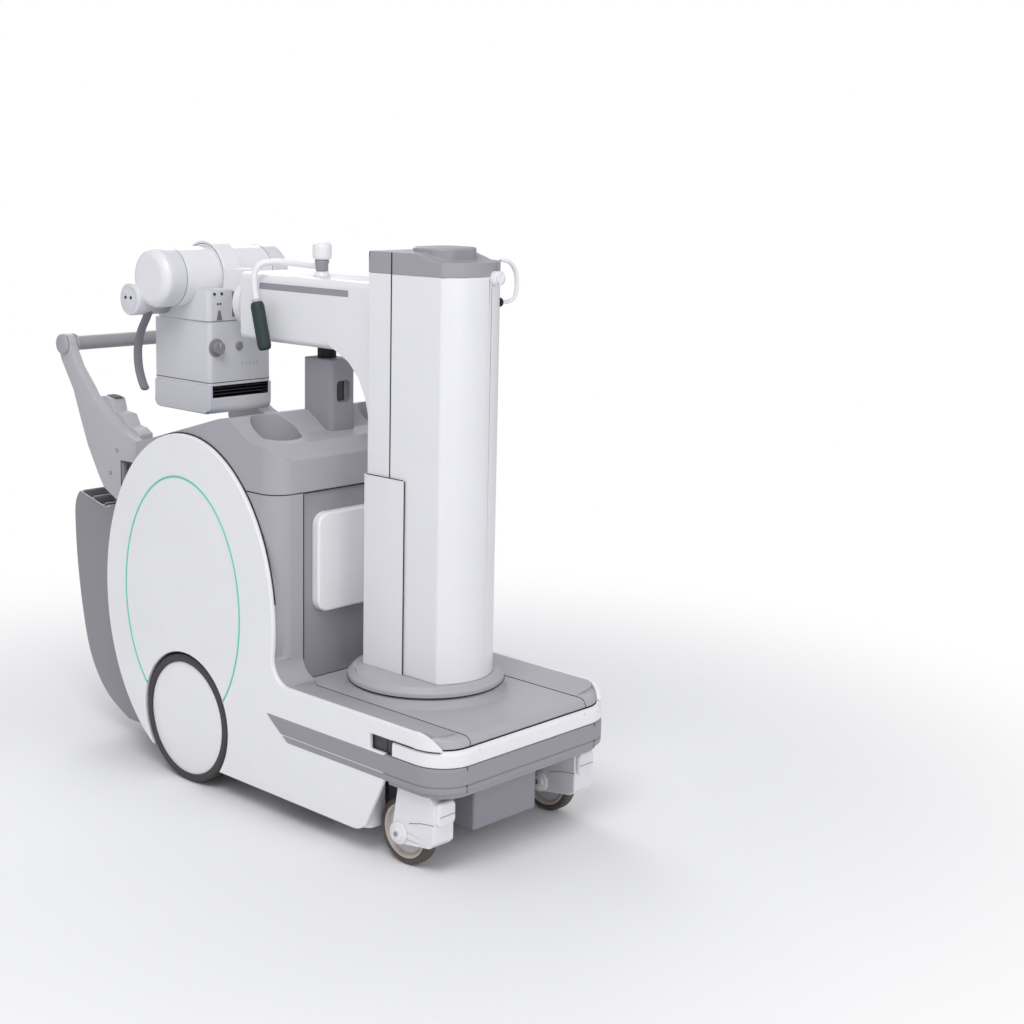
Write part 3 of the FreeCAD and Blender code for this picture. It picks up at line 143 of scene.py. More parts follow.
def make_floor():
    """A pale floor that keeps the shadow and turns into the plain background further out."""
    material = bpy.data.materials.new("floor_finish")
    material.use_nodes = True
    tree = material.node_tree
    tree.nodes.clear()
    near = add_shader(tree, "BsdfDiffuse", {"Color": (0.93, 0.93, 0.94, 1)})
    far = add_shader(tree, "Emission", {"Color": (1, 1, 1, 1)})
    coords = add_shader(tree, "TexCoord")
    length = add_shader(tree, "VectorMath", {0: coords.outputs["Object"]}, operation="LENGTH")
    fade = add_shader(tree, "MapRange", {"From Min": FLOOR_NEAR, "From Max": FLOOR_FAR,
                                         "Value": length.outputs["Value"]},
                      interpolation_type="SMOOTHSTEP")
    path = add_shader(tree, "LightPath")
    seen = add_shader(tree, "Math", {0: fade.outputs["Result"], 1: path.outputs["Is Camera Ray"]},
                      operation="MULTIPLY")
    mix = add_shader(tree, "MixShader", {0: seen.outputs[0], 1: near.outputs[0],
                                         2: far.outputs[0]})
    add_shader(tree, "OutputMaterial", {"Surface": mix.outputs[0]})
    mesh = bpy.data.meshes.new("floor")
    mesh.from_pydata([(x * FLOOR_REACH, y * FLOOR_REACH, 0)
                      for x, y in ((-1, -1), (1, -1), (1, 1), (-1, 1))], [], [(0, 1, 2, 3)])
    floor = bpy.data.objects.new("floor", mesh)
    mesh.materials.append(material)
    bpy.context.scene.collection.objects.link(floor)


def make_studio():
    make_world()
    make_floor()
    middle = Vector((0, 0, 0.6))
    make_lamp("key", Vector((1.6, -2.2, 3.9)), middle, 2.4, 70)
    make_lamp("front_fill", Vector((4.2, -0.4, 1.9)), middle, 2.6, 24)
    make_lamp("rear_fill", Vector((-3.4, 1.8, 2.9)), middle, 2.6, 55)
    bpy.context.scene.view_settings.view_transform = "Standard"


# Finishes

def linear(*channels):
    """A colour given as 0 to 255 screen values."""
    def one(level):
        level = level / 255
        return level / 12.92 if level <= 0.04045 else ((level + 0.055) / 1.055) ** 2.4
    return tuple(one(level) for level in channels)


MOTTLING = 0.03


def finish(name, colour, roughness, grain=1300, relief=0.00002, coat=0.0, metallic=0.0,
           spread=0.06):
    """A moulded or painted finish: fine grain in the relief, uneven gloss, and slight mottling."""
    material = bpy.data.materials.new(name)
    material.use_nodes = True
    tree = material.node_tree
    place = add_shader(tree, "TexCoord").outputs["Object"]
    fine, broad = (
        add_shader(tree, "TexNoise", {"Scale": scale, "Detail": detail, "Vector": place})
        .outputs["Fac"] for scale, detail in ((grain, 3), (7, 5)))
    tint = add_shader(tree, "Mix", {
        "A": (*[level * (1 - MOTTLING) for level in colour], 1),
        "B": (*[min(level * (1 + MOTTLING), 1) for level in colour], 1),
        "Factor": broad}, data_type="RGBA")
    half = add_shader(tree, "Math", {0: broad, 1: 0.5}, operation="MULTIPLY")
    blend = add_shader(tree, "Math", {0: fine, 1: 0.5, 2: half.outputs[0]},
                       operation="MULTIPLY_ADD")
    gloss = add_shader(tree, "MapRange", {"To Min": max(roughness - spread, 0.02),
                                          "To Max": roughness + spread,
                                          "Value": blend.outputs[0]})
    bump = add_shader(tree, "Bump", {"Distance": relief, "Height": fine})
    feed(tree, tree.nodes["Principled BSDF"], {
        "Metallic": metallic, "Coat Weight": coat, "Coat Roughness": 0.12,
        "Base Color": tint.outputs["Result"], "Roughness": gloss.outputs["Result"],
        "Normal": bump.outputs["Normal"]})
    return material


WHITE = finish("white_moulding", linear(245, 245, 247), 0.34, coat=0.15)
PAINT = finish("white_paint", linear(240, 240, 243), 0.30, grain=700, relief=0.000015, coat=0.2)
PALE = finish("pale_paint", linear(226, 226, 231), 0.32, grain=700, relief=0.000015, coat=0.15)
GREY = finish("grey_moulding", linear(174, 172, 179), 0.46, relief=0.00004)
DECK = finish("deck_moulding", linear(182, 181, 187), 0.48, relief=0.00004)
SLATE = finish("slate_moulding", linear(156, 153, 161), 0.48, relief=0.00004)
CAP = finish("cap_moulding", linear(164, 162, 169), 0.42, relief=0.00003)
BIN = finish("bin_moulding", linear(146, 144, 151), 0.36, relief=0.00003, coat=0.1)
BLACK = finish("black_gloss", linear(26, 24, 26), 0.14, relief=0.00001, coat=0.6)
HANDLE = finish("handle_coating", linear(162, 161, 165), 0.52, grain=900, relief=0.00005)
TEAL = finish("teal_trim", linear(112, 206, 190), 0.35)
GLASS = finish("console_glass", linear(46, 41, 40), 0.09, relief=0.000004, coat=0.5, spread=0.03)
SOFT_GREY = finish("soft_grip", linear(128, 126, 132), 0.6, grain=800, relief=0.00008)
GREEN = finish("green_grip", linear(40, 58, 54), 0.55, grain=900, relief=0.0001)
RUBBER = finish("black_rubber", linear(30, 29, 30), 0.62, grain=900, relief=0.00008)
TYRE = finish("drive_tyre_rubber", linear(70, 65, 66), 0.66, grain=700, relief=0.00012)
TREAD = finish("caster_tread", linear(84, 75, 71), 0.6, grain=700, relief=0.0001)
HUB = finish("caster_hub", linear(196, 193, 195), 0.4)
RIM = finish("caster_rim", linear(200, 190, 182), 0.42)
CHEEK = finish("cheek_moulding", linear(190, 188, 194), 0.46, relief=0.00004)
KNOB = finish("knob_moulding", linear(150, 148, 153), 0.4)
RED = finish("stop_red", linear(196, 28, 34), 0.3, coat=0.3)
STEEL = finish("satin_steel", linear(176, 176, 180), 0.28, grain=400, relief=0.00002, metallic=1.0)
FRAME = finish("frame_coating", linear(84, 85, 90), 0.55, grain=600, relief=0.00006)
INNER = finish("inner_units", linear(70, 71, 75), 0.6)
GAP = finish("dark_gap", linear(38, 36, 40), 0.6)
GLOW = finish("teal_light_guide", linear(96, 214, 194), 0.3, coat=0.3)

NODE_FINISHES = {name: material for material, names in (
    (WHITE, "side_cover_left side_cover_right front_strip front_access_cover column_peg "
            "power_button hand_switch drive_disc_left drive_disc_right"),
    (PAINT, "fixed_mast moving_mast rear_sleeve arm_housing tube_carrier tube_housing "
            "release_lever caster_fork_left caster_fork_right"),
    (PALE, "inner_arm tube_cradle collimator_upper collimator_lower"),
    (GREY, "side_shell_left side_shell_right top_cover"),
    (CHEEK, "handle_cheek_left handle_cheek_right"),
    (DECK, "deck_slab turntable"),
    (SLATE, "front_panel bumper_band under_box rest_post arm_stripes"),
    (HANDLE, "handle_bar rear_pull"),
    (BIN, "detector_bin"),
    (BLACK, "rear_panel"),
    (TEAL, "accent_rings"),
    (GLASS, "console_glass"),
    (FRAME, "chassis_frame"),
    (INNER, "battery_pack generator_tank drive_motors"),
    (CAP, "column_cap carriage_cap"),
    (SOFT_GREY, "head_handle_left head_handle_right"),
    (KNOB, "collimator_knob light_button"),
    (GREEN, "release_grip"),
    (RUBBER, "rest_stop"),
    (HUB, "switch_holder"),
    (RED, "emergency_stop"),
    (TYRE, "drive_tyre_left drive_tyre_right"),
    (TREAD, "caster_tyre_left caster_tyre_right"),
    (RIM, "caster_wheel_left caster_wheel_right"),
) for name in names.split()}
SOFT_EDGE = 0.0015
EDGE_ANGLE = 28
WELD_REACH = 0.00002
# Edge widths where they differ from SOFT_EDGE.
EDGES = {"accent_rings": 0, "battery_pack": 0, "generator_tank": 0, "drive_motors": 0,
         "power_button": 0.0005, "console_glass": 0.0006, "arm_stripes": 0.0006,
         "light_button": 0.0006, "side_shell_left": 0.0006, "side_shell_right": 0.0006,
         "collimator_knob": 0.0008, "collimator_upper": 0.0008, "emergency_stop": 0.001,
         "chassis_frame": 0.001, "rear_sleeve": 0.001, "fixed_mast": 0.002, "moving_mast": 0.002,
         "detector_bin": 0.002, "collimator_lower": 0.003}
ROUNDED_NODES = ("handle_cheek_left", "handle_cheek_right")


def round_edges(piece, width, segments, angle=EDGE_ANGLE, clamp=True, harden=True):
    bevel = piece.modifiers.new("edges", "BEVEL")
    bevel.width = width
    bevel.segments = segments
    bevel.limit_method = "ANGLE"
    bevel.angle_limit = math.radians(angle)
    bevel.use_clamp_overlap = clamp
    bevel.harden_normals = harden


def dress_nodes():
    """Gives every frame node its finish and slightly rounded edges."""
    for name, part in NODES.items():
        part.data.materials.clear()
        part.data.materials.append(NODE_FINISHES[name])
        for face in part.data.polygons:
            face.material_index = 0
        bpy.context.view_layer.objects.active = part
        bpy.ops.mesh.customdata_custom_splitnormals_clear()
        part.data.shade_smooth()
        weld = part.modifiers.new("weld", "WELD")
        weld.merge_threshold = WELD_REACH
        if name in ROUNDED_NODES:
            # The facets of a curved outline are shaded as one surface, its corners stay sharp.
            round_edges(part, 0.0025, 3, angle=50, clamp=False, harden=False)
            continue
        width = EDGES.get(name, SOFT_EDGE)
        if width:
            round_edges(part, width, 2, clamp=False)
        normals = part.modifiers.new("normals", "WEIGHTED_NORMAL")
        normals.keep_sharp = True
        normals.weight = 60


# Pieces modelled here

def add_piece(name, corners, faces, material, body, smooth=True):
    """A piece made of corners and faces, with its material and body."""
    mesh = bpy.data.meshes.new(name)
    mesh.from_pydata([tuple(corner) for corner in corners], [], faces)
    shape = bmesh.new()
    shape.from_mesh(mesh)
    bmesh.ops.remove_doubles(shape, verts=shape.verts, dist=1e-6)
    bmesh.ops.recalc_face_normals(shape, faces=shape.faces)
    shape.to_mesh(mesh)
    shape.free()
    mesh.materials.append(material)
    if smooth:
        mesh.shade_smooth()
    piece = bpy.data.objects.new(name, mesh)
    bpy.context.scene.collection.objects.link(piece)
    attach(piece, body)
    return piece


def ring_faces(rings, size, closed=False, first=True, last=True):
    """Faces that join rings of corners, and a face over each end that isn't left open."""
    total = rings * size
    faces = []
    for n in range(rings if closed else rings - 1):
        for k in range(size):
            a, b = n * size + k, n * size + (k + 1) % size
            faces.append((a, b, (b + size) % total, (a + size) % total))
    if first and not closed:
        faces.append(tuple(range(size)))
    if last and not closed:
        faces.append(tuple(range(total - size, total)))
    return faces


def round_steps(count):
    """The cosine and sine at even steps round a circle."""
    turns = [2 * math.pi * n / count for n in range(count)]
    return [(math.cos(turn), math.sin(turn)) for turn in turns]


def soften(piece, width, segments=3):
    """Rounds a piece's edges and evens out its shading."""
    if width:
        round_edges(piece, width, segments)
    normals = piece.modifiers.new("normals", "WEIGHTED_NORMAL")
    normals.keep_sharp = True
    return piece


def plane(origin, out, up=(0, 0, 1)):
    """A frame whose third axis points out of a surface and whose second is nearest to up."""
    out = Vector(out).normalized()
    across = Vector(up).cross(out).normalized()
    rise = out.cross(across)
    turn = Matrix((across, rise, out)).transposed().to_4x4()
    return Matrix.Translation(Vector(origin)) @ turn


def slab(name, outline, thick, where, material, body, edge=0.0, segments=3):
    """A plate with the given outline in the frame's plane, raised along its third axis."""
    count = len(outline)
    corners = [where @ Vector((x, y, z)) for z in (0, thick) for x, y in outline]
    faces = [tuple(range(count))[::-1], tuple(range(count, 2 * count))]
    faces += [(n, (n + 1) % count, count + (n + 1) % count, count + n) for n in range(count)]
    return soften(add_piece(name, corners, faces, material, body), edge, segments)


def arc_points(centre, radius, start, end, steps):
    """Points on an arc between two angles in degrees."""
    turns = [math.radians(start + (end - start) * n / steps) for n in range(steps + 1)]
    return [(centre[0] + radius * math.cos(turn), centre[1] + radius * math.sin(turn))
            for turn in turns]


def box_outline(width, height, radius=0.0, steps=6, middle=(0, 0)):
    """A rectangle about a middle, with round corners if a radius is given."""
    x, y = middle
    across, up = width / 2 - radius, height / 2 - radius
    if not radius:
        return [(x + sx * across, y + sy * up) for sx, sy in ((-1, -1), (1, -1), (1, 1), (-1, 1))]
    points = []
    for sx, sy, start in ((1, 1, 0), (-1, 1, 90), (-1, -1, 180), (1, -1, 270)):
        points += arc_points((x + sx * across, y + sy * up), radius, start, start + 90, steps)
    return points


def turned(name, profile, where, material, body, steps=48):
    """A round piece from (radius, height) points about the frame's third axis."""
    corners = [where @ Vector((radius * c, radius * s, height))
               for radius, height in profile for c, s in round_steps(steps)]
    faces = ring_faces(len(profile), steps, first=profile[0][0] > 0, last=profile[-1][0] > 0)
    return soften(add_piece(name, corners, faces, material, body), 0)


def smooth_line(points, steps=8):
    """Points of a smooth line through the given ones."""
    points = [Vector(point) for point in points]
    line = []
    for n in range(len(points) - 1):
        before = points[max(n - 1, 0)]
        start, end = points[n], points[n + 1]
        after = points[min(n + 2, len(points) - 1)]
        for step in range(steps):
            t = step / steps
            line.append(0.5 * (2 * start + (end - before) * t
                               + (2 * before - 5 * start + 4 * end - after) * t * t
                               + (3 * start - before - 3 * end + after) * t ** 3))
    line.append(points[-1])
    return line


def swept(name, line, radius, material, body, sides=16, closed=False, flat=1.0,
          rounded_ends=True, facing=(0, 0, 1)):
    """A rod along a line; flat is its height over its width, and its ends are rounded."""
    spots = list(line)
    radii = [radius] * len(spots)
    if rounded_ends and not closed:
        first = (spots[1] - spots[0]).normalized()
        last = (spots[-1] - spots[-2]).normalized()
        caps = [(0.15, 0.99), (0.5, 0.87), (0.8, 0.6), (0.96, 0.28)]
        spots = ([spots[0] - first * radius * a for a, _ in caps[::-1]] + spots
                 + [spots[-1] + last * radius * a for a, _ in caps])
        radii = ([radius * b for _, b in caps[::-1]] + radii + [radius * b for _, b in caps])
    count = len(spots)
    corners = []
    across = None
    for n, spot in enumerate(spots):
        ahead = spots[(n + 1) % count] if closed else spots[min(n + 1, count - 1)]
        behind = spots[n - 1] if closed or n else spots[0]
        way = (ahead - behind).normalized()
        if across is None:
            across = Vector(facing).cross(way)
            if across.length < 0.1:
                across = Vector((1, 0, 0)).cross(way)
        across = (across - way * across.dot(way)).normalized()
        rise = way.cross(across)
        corners += [spot + across * (radii[n] * c) + rise * (radii[n] * flat * s)
                    for c, s in round_steps(sides)]
    faces = ring_faces(count, sides, closed)
    return soften(add_piece(name, corners, faces, material, body), 0)


def seam(name, points, body, width=0.0011, closed=False, material=GAP):
    """A thin dark line let into a surface."""
    return swept(name, [Vector(point) for point in points], width, material, body,
                 sides=6, closed=closed, rounded_ends=False)


def screw(name, place, out, body, radius, material=STEEL):
    """A round screw head with a socket."""
    profile = [(1, 0.35), (0.86, 0.5), (0.5, 0.5), (0.5, 0.1), (0, 0.1)]
    turned(name, [(radius, -0.001)] + [(radius * r, radius * h) for r, h in profile],
           plane(place, out), material, body, steps=24)


# A box's corners are numbered with Z changing first, then Y, then X.
BOX_FACES = {"rear": (0, 2, 3, 1), "front": (4, 5, 7, 6), "right": (0, 1, 5, 4),
             "left": (2, 6, 7, 3), "floor": (0, 4, 6, 2), "top": (1, 3, 7, 5)}


def open_box(name, spans, missing, wall, material, body):
    """The thin lining of an opening; spans are its reaches along X, Y and Z."""
    corners = [at(x, y, z) for x in spans[0] for y in spans[1] for z in spans[2]]
    faces = [face for side, face in BOX_FACES.items() if side != missing]
    lining = add_piece(name, corners, faces, material, body, smooth=False)
    thicken = lining.modifiers.new("wall", "SOLIDIFY")
    thicken.thickness = wall
    thicken.offset = 0


def skin(name, rings, material, edge, segments=2):
    """A fixed piece of the cart whose surface joins rings of places."""
    corners = [at(*spot) for ring in rings for spot in ring]
    faces = ring_faces(len(rings), len(rings[0]))
    return soften(add_piece(name, corners, faces, material, "cart"), edge, segments)


def u_path(start_x, outer, corner, front_x):
    """Plan points and outward directions of a rail round the front end, right to left."""
    points = [((start_x, -outer), (0, -1))]
    for side, start in ((-1, -90), (1, 0)):
        centre = (front_x - corner, side * (outer - corner))
        outs = arc_points((0, 0), 1, start, start + 90, 10)
        points += [((centre[0] + corner * x, centre[1] + corner * y), (x, y)) for x, y in outs]
    return points + [((start_x, outer), (0, 1))]


def rail(name, path, profile, material, slant=None):
    """Sweeps a (depth, height) profile round a plan path; depth is taken inward. slant moves
    the ends by a distance that depends on the height."""
    rings = []
    for n, ((x, y), (out_x, out_y)) in enumerate(path):
        moved = slant and n in (0, len(path) - 1)
        rings.append([(x - out_x * depth + (slant(height) if moved else 0), y - out_y * depth,
                       height) for depth, height in profile])
    return skin(name, rings, material, 0.0008)


# Oval cover

OVAL_MIDDLE = (5, 430)
OVAL_HALF = (319, 410)
WHEEL_HEIGHT = 155
ARCH_RADIUS = 161
COVER_OUT = 278
COVER_IN = 266
SKIRT_LOW = 55
SKIRT_TOP = 316
TOE = (590, 107)
TOE_RADIUS = 52
BLEND_RADIUS = 52


def oval_point(angle):
    return (OVAL_MIDDLE[0] + OVAL_HALF[0] * math.cos(angle),
            OVAL_MIDDLE[1] + OVAL_HALF[1] * math.sin(angle))


def bisected(low, high, holds):
    """The last place from low towards high where a condition holds."""
    for _ in range(40):
        middle = (low + high) / 2
        if holds(middle):
            low = middle
        else:
            high = middle
    return low


def cover_outline():
    """Side view of the oval cover with its wheel arch and forward skirt, as (x, z)."""
    def outside_arch(angle):
        x, z = oval_point(angle)
        return math.hypot(x, z - WHEEL_HEIGHT) > ARCH_RADIUS
    at_arch = bisected(math.pi, math.radians(262), outside_arch)
    x, z = oval_point(at_arch)
    start = math.degrees(math.atan2(z - WHEEL_HEIGHT, x)) % 360
    end = -math.degrees(math.asin((WHEEL_HEIGHT - SKIRT_LOW) / ARCH_RADIUS))
    points = arc_points((0, WHEEL_HEIGHT), ARCH_RADIUS, start, end, 40)
    points += arc_points(TOE, TOE_RADIUS, 270, 322, 6)
    points += [(646, 108), (686, 190), (686, 247), (642, 247), (642, 281), (774, 281),
               (774, SKIRT_TOP)]
    # A circle that rolls on the skirt's top edge blends it into the oval.
    at_skirt = bisected(math.radians(-30), 0, lambda angle: oval_out(angle, BLEND_RADIUS)[1]
                        < SKIRT_TOP + BLEND_RADIUS)
    centre = oval_out(at_skirt, BLEND_RADIUS)
    x, z = oval_point(at_skirt)
    end = math.degrees(math.atan2(z - centre[1], x - centre[0])) % 360
    points += arc_points(centre, BLEND_RADIUS, 270, end, 8)
    steps = 72
    return points + [oval_point(at_skirt + (at_arch - at_skirt) * n / steps)
                     for n in range(1, steps)]


def oval_out(angle, distance):
    """A place outside the oval by a distance, square to its rim."""
    x, z = oval_point(angle)
    nx, nz = math.cos(angle) / OVAL_HALF[0], math.sin(angle) / OVAL_HALF[1]
    size = math.hypot(nx, nz)
    return x + nx / size * distance, z + nz / size * distance


LIGHT_MIDDLE = (-11, 440)
LIGHT_HALF = (219, 297.5)


def oval_covers():
    outline = [(x / 1000, z / 1000) for x, z in cover_outline()]
    ring = [(LIGHT_MIDDLE[0] + LIGHT_HALF[0] * c, LIGHT_MIDDLE[1] + LIGHT_HALF[1] * s)
            for c, s in round_steps(160)]
    shown = [math.hypot(x, z - WHEEL_HEIGHT) > ARCH_RADIUS + 2 for x, z in ring]
    first = next(n for n in range(160) if shown[n] and not shown[n - 1])
    run = [ring[n % 160] for n in range(first, first + 160) if shown[n % 160]]
    for name, side in SIDES:
        where = Matrix.Translation(at(0, side * COVER_IN, 0)) @ Matrix.Rotation(
            math.radians(90), 4, "X")
        if side > 0:
            where = where @ Matrix.Diagonal((1, 1, -1, 1))
        cover = slab("oval_cover_" + name, outline, (COVER_OUT - COVER_IN) / 1000, where, WHITE,
                     "cart", edge=0.005, segments=4)
        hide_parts("side_cover_" + name)
        line = [at(x, side * (COVER_OUT - 0.6), z) for x, z in run]
        swept("light_ring_" + name, line, 0.0024, GLOW, "cart", sides=8,
              rounded_ends=False)


# Column

COLUMN_X = 530
RIM_RADIUS = 176.6
RIM_HEIGHT = 325.6


def column_details():
    for name, side in SIDES:
        where = plane(at(499.7, side * 90, 1030), (0, side, 0))
        seam("sleeve_edge_" + name, [at(549, side * 93.0, z) for z in (350, 560, 784)], "column",
             0.0013)
        seam("sleeve_top_" + name, [at(x, side * 94.6, 785.2) for x in (430, 490, 547)], "column")
        slab("mast_seam_" + name, box_outline(0.0035, 0.490), 0.0004, where, GAP, "column")
    low, high = 1172, 1262
    hook = smooth_line([at(*spot) for spot in (
        (661, 84, high), (668, 104, high - 8), (668, 122, high - 34), (664, 126, low + 16),
        (655, 116, low), (648, 92, low - 2))])
    swept("column_loop", hook, 0.006, PAINT, "column", sides=12, flat=0.7)
    turned("loop_foot", [(0.010, -0.002), (0.010, 0.004), (0.008, 0.006), (0, 0.006)],
           plane(at(648, 90, low - 2), (0, 1, 0)), GAP, "column")
    rim = [at(COLUMN_X + RIM_RADIUS * c, RIM_RADIUS * s, RIM_HEIGHT)
           for c, s in round_steps(80)]
    seam("turntable_gap", rim, "column", 0.0016, closed=True)
    where = plane(at(560, 0, 1287.3), (0, 0, 1), (1, 0, 0))
    slab("cap_inlay", box_outline(0.072, 0.062, 0.016), 0.0006, where, DECK, "column",
         0.0003, 2)


# Release lever

LEVER_POST = (207, -30)
GRIP_TOP = (67, -108, 1142)
GRIP_LOW = (97, -108, 1032)
GRIP_RIDGES = 7


def lever_pieces():
    post = Matrix.Translation(at(*LEVER_POST, 0))
    turned("lever_knob", [(0, 1.2835), (0.012, 1.2835), (0.0185, 1.2812), (0.0215, 1.2765),
                          (0.022, 1.2700), (0.022, 1.2520), (0.0205, 1.2462), (0.016, 1.2440),
                          (0, 1.2440)],
           post, PAINT, "lever")
    turned("lever_collar", [(0.013, 1.2440), (0.0165, 1.2425), (0.0165, 1.2365), (0.0145, 1.2350),
                            (0.0145, 1.2185), (0, 1.2185)],
           post, SLATE, "lever")
    turned("lever_foot", [(0.019, 1.2030), (0.019, 1.2080), (0.0165, 1.2120), (0.0145, 1.2175),
                          (0, 1.2175)],
           post, PAINT, "carriage")
    line = smooth_line([at(*spot) for spot in (
        (200, -30, 1229), (165, -32, 1229), (122, -44, 1232), (84, -70, 1234), (62, -94, 1226),
        (56, -106, 1202), (60, -108, 1170), (68, -108, 1138))], 10)
    tube = swept("lever_tube", line, 0.0075, PAINT, "lever", sides=20)
    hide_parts("release_lever")
    top, low = at(*GRIP_TOP), at(*GRIP_LOW)
    way = (low - top).normalized()
    where = plane(top, way, (0, 1, 0))
    length = (low - top).length
    rings = [(0.0095, 0), (0.0135, 0.002), (0.0155, 0.007)]
    for n in range(GRIP_RIDGES):
        middle = 0.016 + n * (length - 0.032) / (GRIP_RIDGES - 1)
        rings += [(0.0160, middle - 0.0050), (0.0163, middle), (0.0160, middle + 0.0050)]
    rings += [(0.0155, length - 0.007), (0.0135, length - 0.002), (0.0095, length), (0, length)]
    grip = turned("lever_grip", [(0, 0)] + rings, where, GREEN, "lever", steps=40)
    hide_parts("release_grip")
    turned("grip_ring", [(0.0088, -0.006), (0.0112, -0.005), (0.0112, 0.001), (0.0088, 0.002)],
           where, HUB, "lever", steps=32)


# Tube head

TUBE_MIDDLE = (-240, 1183)
HUB_MIDDLE = (-307, 1128)


def head_pieces():
    tube_caps()
    for name, side in SIDES:
        head_handle(name, side)
    cradle_details()
    collimator_details()


def tube_caps():
    x, z = TUBE_MIDDLE
    rounding = [math.radians(90 * step / 8) for step in range(1, 9)]
    profile = [(0.0722, -0.062), (0.0726, -0.0605), (0.0726, -0.026)]
    profile += [(0.0486 + 0.024 * math.cos(angle), -0.026 + 0.0255 * math.sin(angle))
                for angle in rounding] + [(0, -0.0005)]
    for name, side, end in (("right", -1, 192), ("left", 1, 200)):
        where = plane(at(x, side * end, z), (0, side, 0))
        turned("tube_cap_" + name, profile, where, PALE, "tube", steps=72)
        ring = [where @ Vector((0.0722 * c, 0.0722 * s, -0.0627)) for c, s in round_steps(72)]
        seam("tube_cap_seam_" + name, ring, "tube", 0.0007, closed=True, material=KNOB)
    for n, y in ((2, -26), (1, 26)):
        ring = [at(x + 79 * c, y, z + 79 * s) for c, s in round_steps(64)]
        seam("carrier_groove_%d" % n, ring, "head_carrier", 0.0007, closed=True)


def head_handle(name, side):
    hub = plane(at(HUB_MIDDLE[0], side * 100, HUB_MIDDLE[1]), (0, side, 0))
    turned("handle_hub_" + name, [
        (0.0400, 0.0), (0.0400, 0.0970), (0.0385, 0.1005), (0.0350, 0.1025), (0.0300, 0.1030),
        (0.0285, 0.1015), (0.0275, 0.1030), (0, 0.1036)], hub, PALE, "tube", steps=64)
    for n, x in ((1, 0.010), (2, -0.012)):
        screw("hub_screw_%s_%d" % (name, n), hub @ Vector((x, 0.004, 0.1033)), (0, side, 0),
              "tube", 0.0038, GAP)
    line = smooth_line([at(x, side * 156, z) for x, z in (
        (-282, 1150), (-278, 1118), (-298, 1084), (-324, 1045), (-338, 1000), (-335, 955),
        (-322, 922), (-311, 906))])
    rod = swept("handle_rod_" + name, line, 0.0066, SOFT_GREY, "tube", sides=24,
                flat=1.85, facing=(0, 1, 0))
    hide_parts("head_handle_" + name)


def cradle_details():
    face = -125
    screws = ((-82, 1146, 0.0036), (-60, 1146, 0.0036), (-72, 1122, 0.0026),
              (-64, 1122, 0.0026), (82, 1146, 0.0036), (60, 1146, 0.0036))
    for n, (y, z, size) in enumerate(screws, 1):
        screw("cradle_screw_%d" % n, at(face, y, z), (1, 0, 0), "tube", size, GAP)
    latch = [(-0.008, -0.011), (0.008, -0.011), (0.003, 0.012), (-0.003, 0.012)]
    for n, side in enumerate((-1, 1), 1):
        slab("cradle_latch_%d" % n, latch, 0.0022, plane(at(face, side * 68, 1094), (1, 0, 0)),
             SOFT_GREY, "tube", 0.0006, 2)


COLLIMATOR_DEPTH = 226
COLLIMATOR_LOW = 852
COLLIMATOR_JOINT = 930
FILTER_SLOT_LOW = 893
FILTER_SLOT_HIGH = 922
KNOB_HEIGHT = 1016


def collimator_details():
    body, slot = "beam_limiter", "knob_grey"
    middle = TUBE_MIDDLE[0]
    front = middle + COLLIMATOR_DEPTH / 2
    line = [at(middle + x, y, COLLIMATOR_JOINT) for x, y in box_outline(COLLIMATOR_DEPTH, 192, 12)]
    seam("collimator_seam", line, body, 0.0009, closed=True)
    open_box("slot_lining", ((front - 69, front - 0.4), (-86, 86),
                             (FILTER_SLOT_LOW + 0.3, FILTER_SLOT_HIGH - 0.3)),
             "front", 0.0008, GAP, body)
    for n, z in enumerate((900, 908, 916), 1):
        where = plane(at(front - 26, 0, z), (0, 0, 1), (1, 0, 0))
        slab("slot_rail_%d" % n, box_outline(0.168, 0.044), 0.0012, where, INNER, body,
             0.0003, 2)
    where = plane(at(front, -76, KNOB_HEIGHT), (1, 0, 0))
    turned("knob_plate", [(0.0225, 0), (0.0225, 0.0012), (0.0215, 0.0018), (0, 0.0018)], where,
           SLATE, body)
    radii = (0.0152, 0.0152, 0.0143, 0.0143)
    ridges = [(radii[n % 4] * c, radii[n % 4] * s) for n, (c, s) in enumerate(round_steps(96))]
    knob = slab("field_knob_grip", ridges, 0.0152, where @ Matrix.Translation((0, 0, 0.0022)),
                KNOB, "field_knob", 0.0006, 2)
    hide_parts("collimator_knob")
    slab("knob_pointer", box_outline(0.0016, 0.010, 0.0007, 3, (0, 0.008)), 0.0006,
         where @ Matrix.Translation((0, 0, 0.0172)), WHITE, "field_knob")
    for n in range(5):
        where = plane(at(front, 52 - n * 12, 972), (1, 0, 0))
        slab("field_mark_%d" % (n + 1), box_outline(0.0016, 0.005 if n % 2 else 0.008), 0.0002,
             where, SLATE, body)
    turned("light_bezel", [(0.0073, 0), (0.0112, 0), (0.0112, 0.0012), (0.0102, 0.002),
                           (0.0073, 0.002)], plane(at(front, -5, KNOB_HEIGHT), (1, 0, 0)),
           SLATE, body)
    where = plane(at(middle, 0, COLLIMATOR_LOW), (0, 0, -1), (1, 0, 0))
    slab("beam_window", box_outline(0.120, 0.140, 0.010), 0.0004,
         where @ Matrix.Translation((0, 0, -0.0002)), GLASS, body)


# Casters

CASTER_FOOT = (746, 224)
CASTER_AXLE = (710, 74)


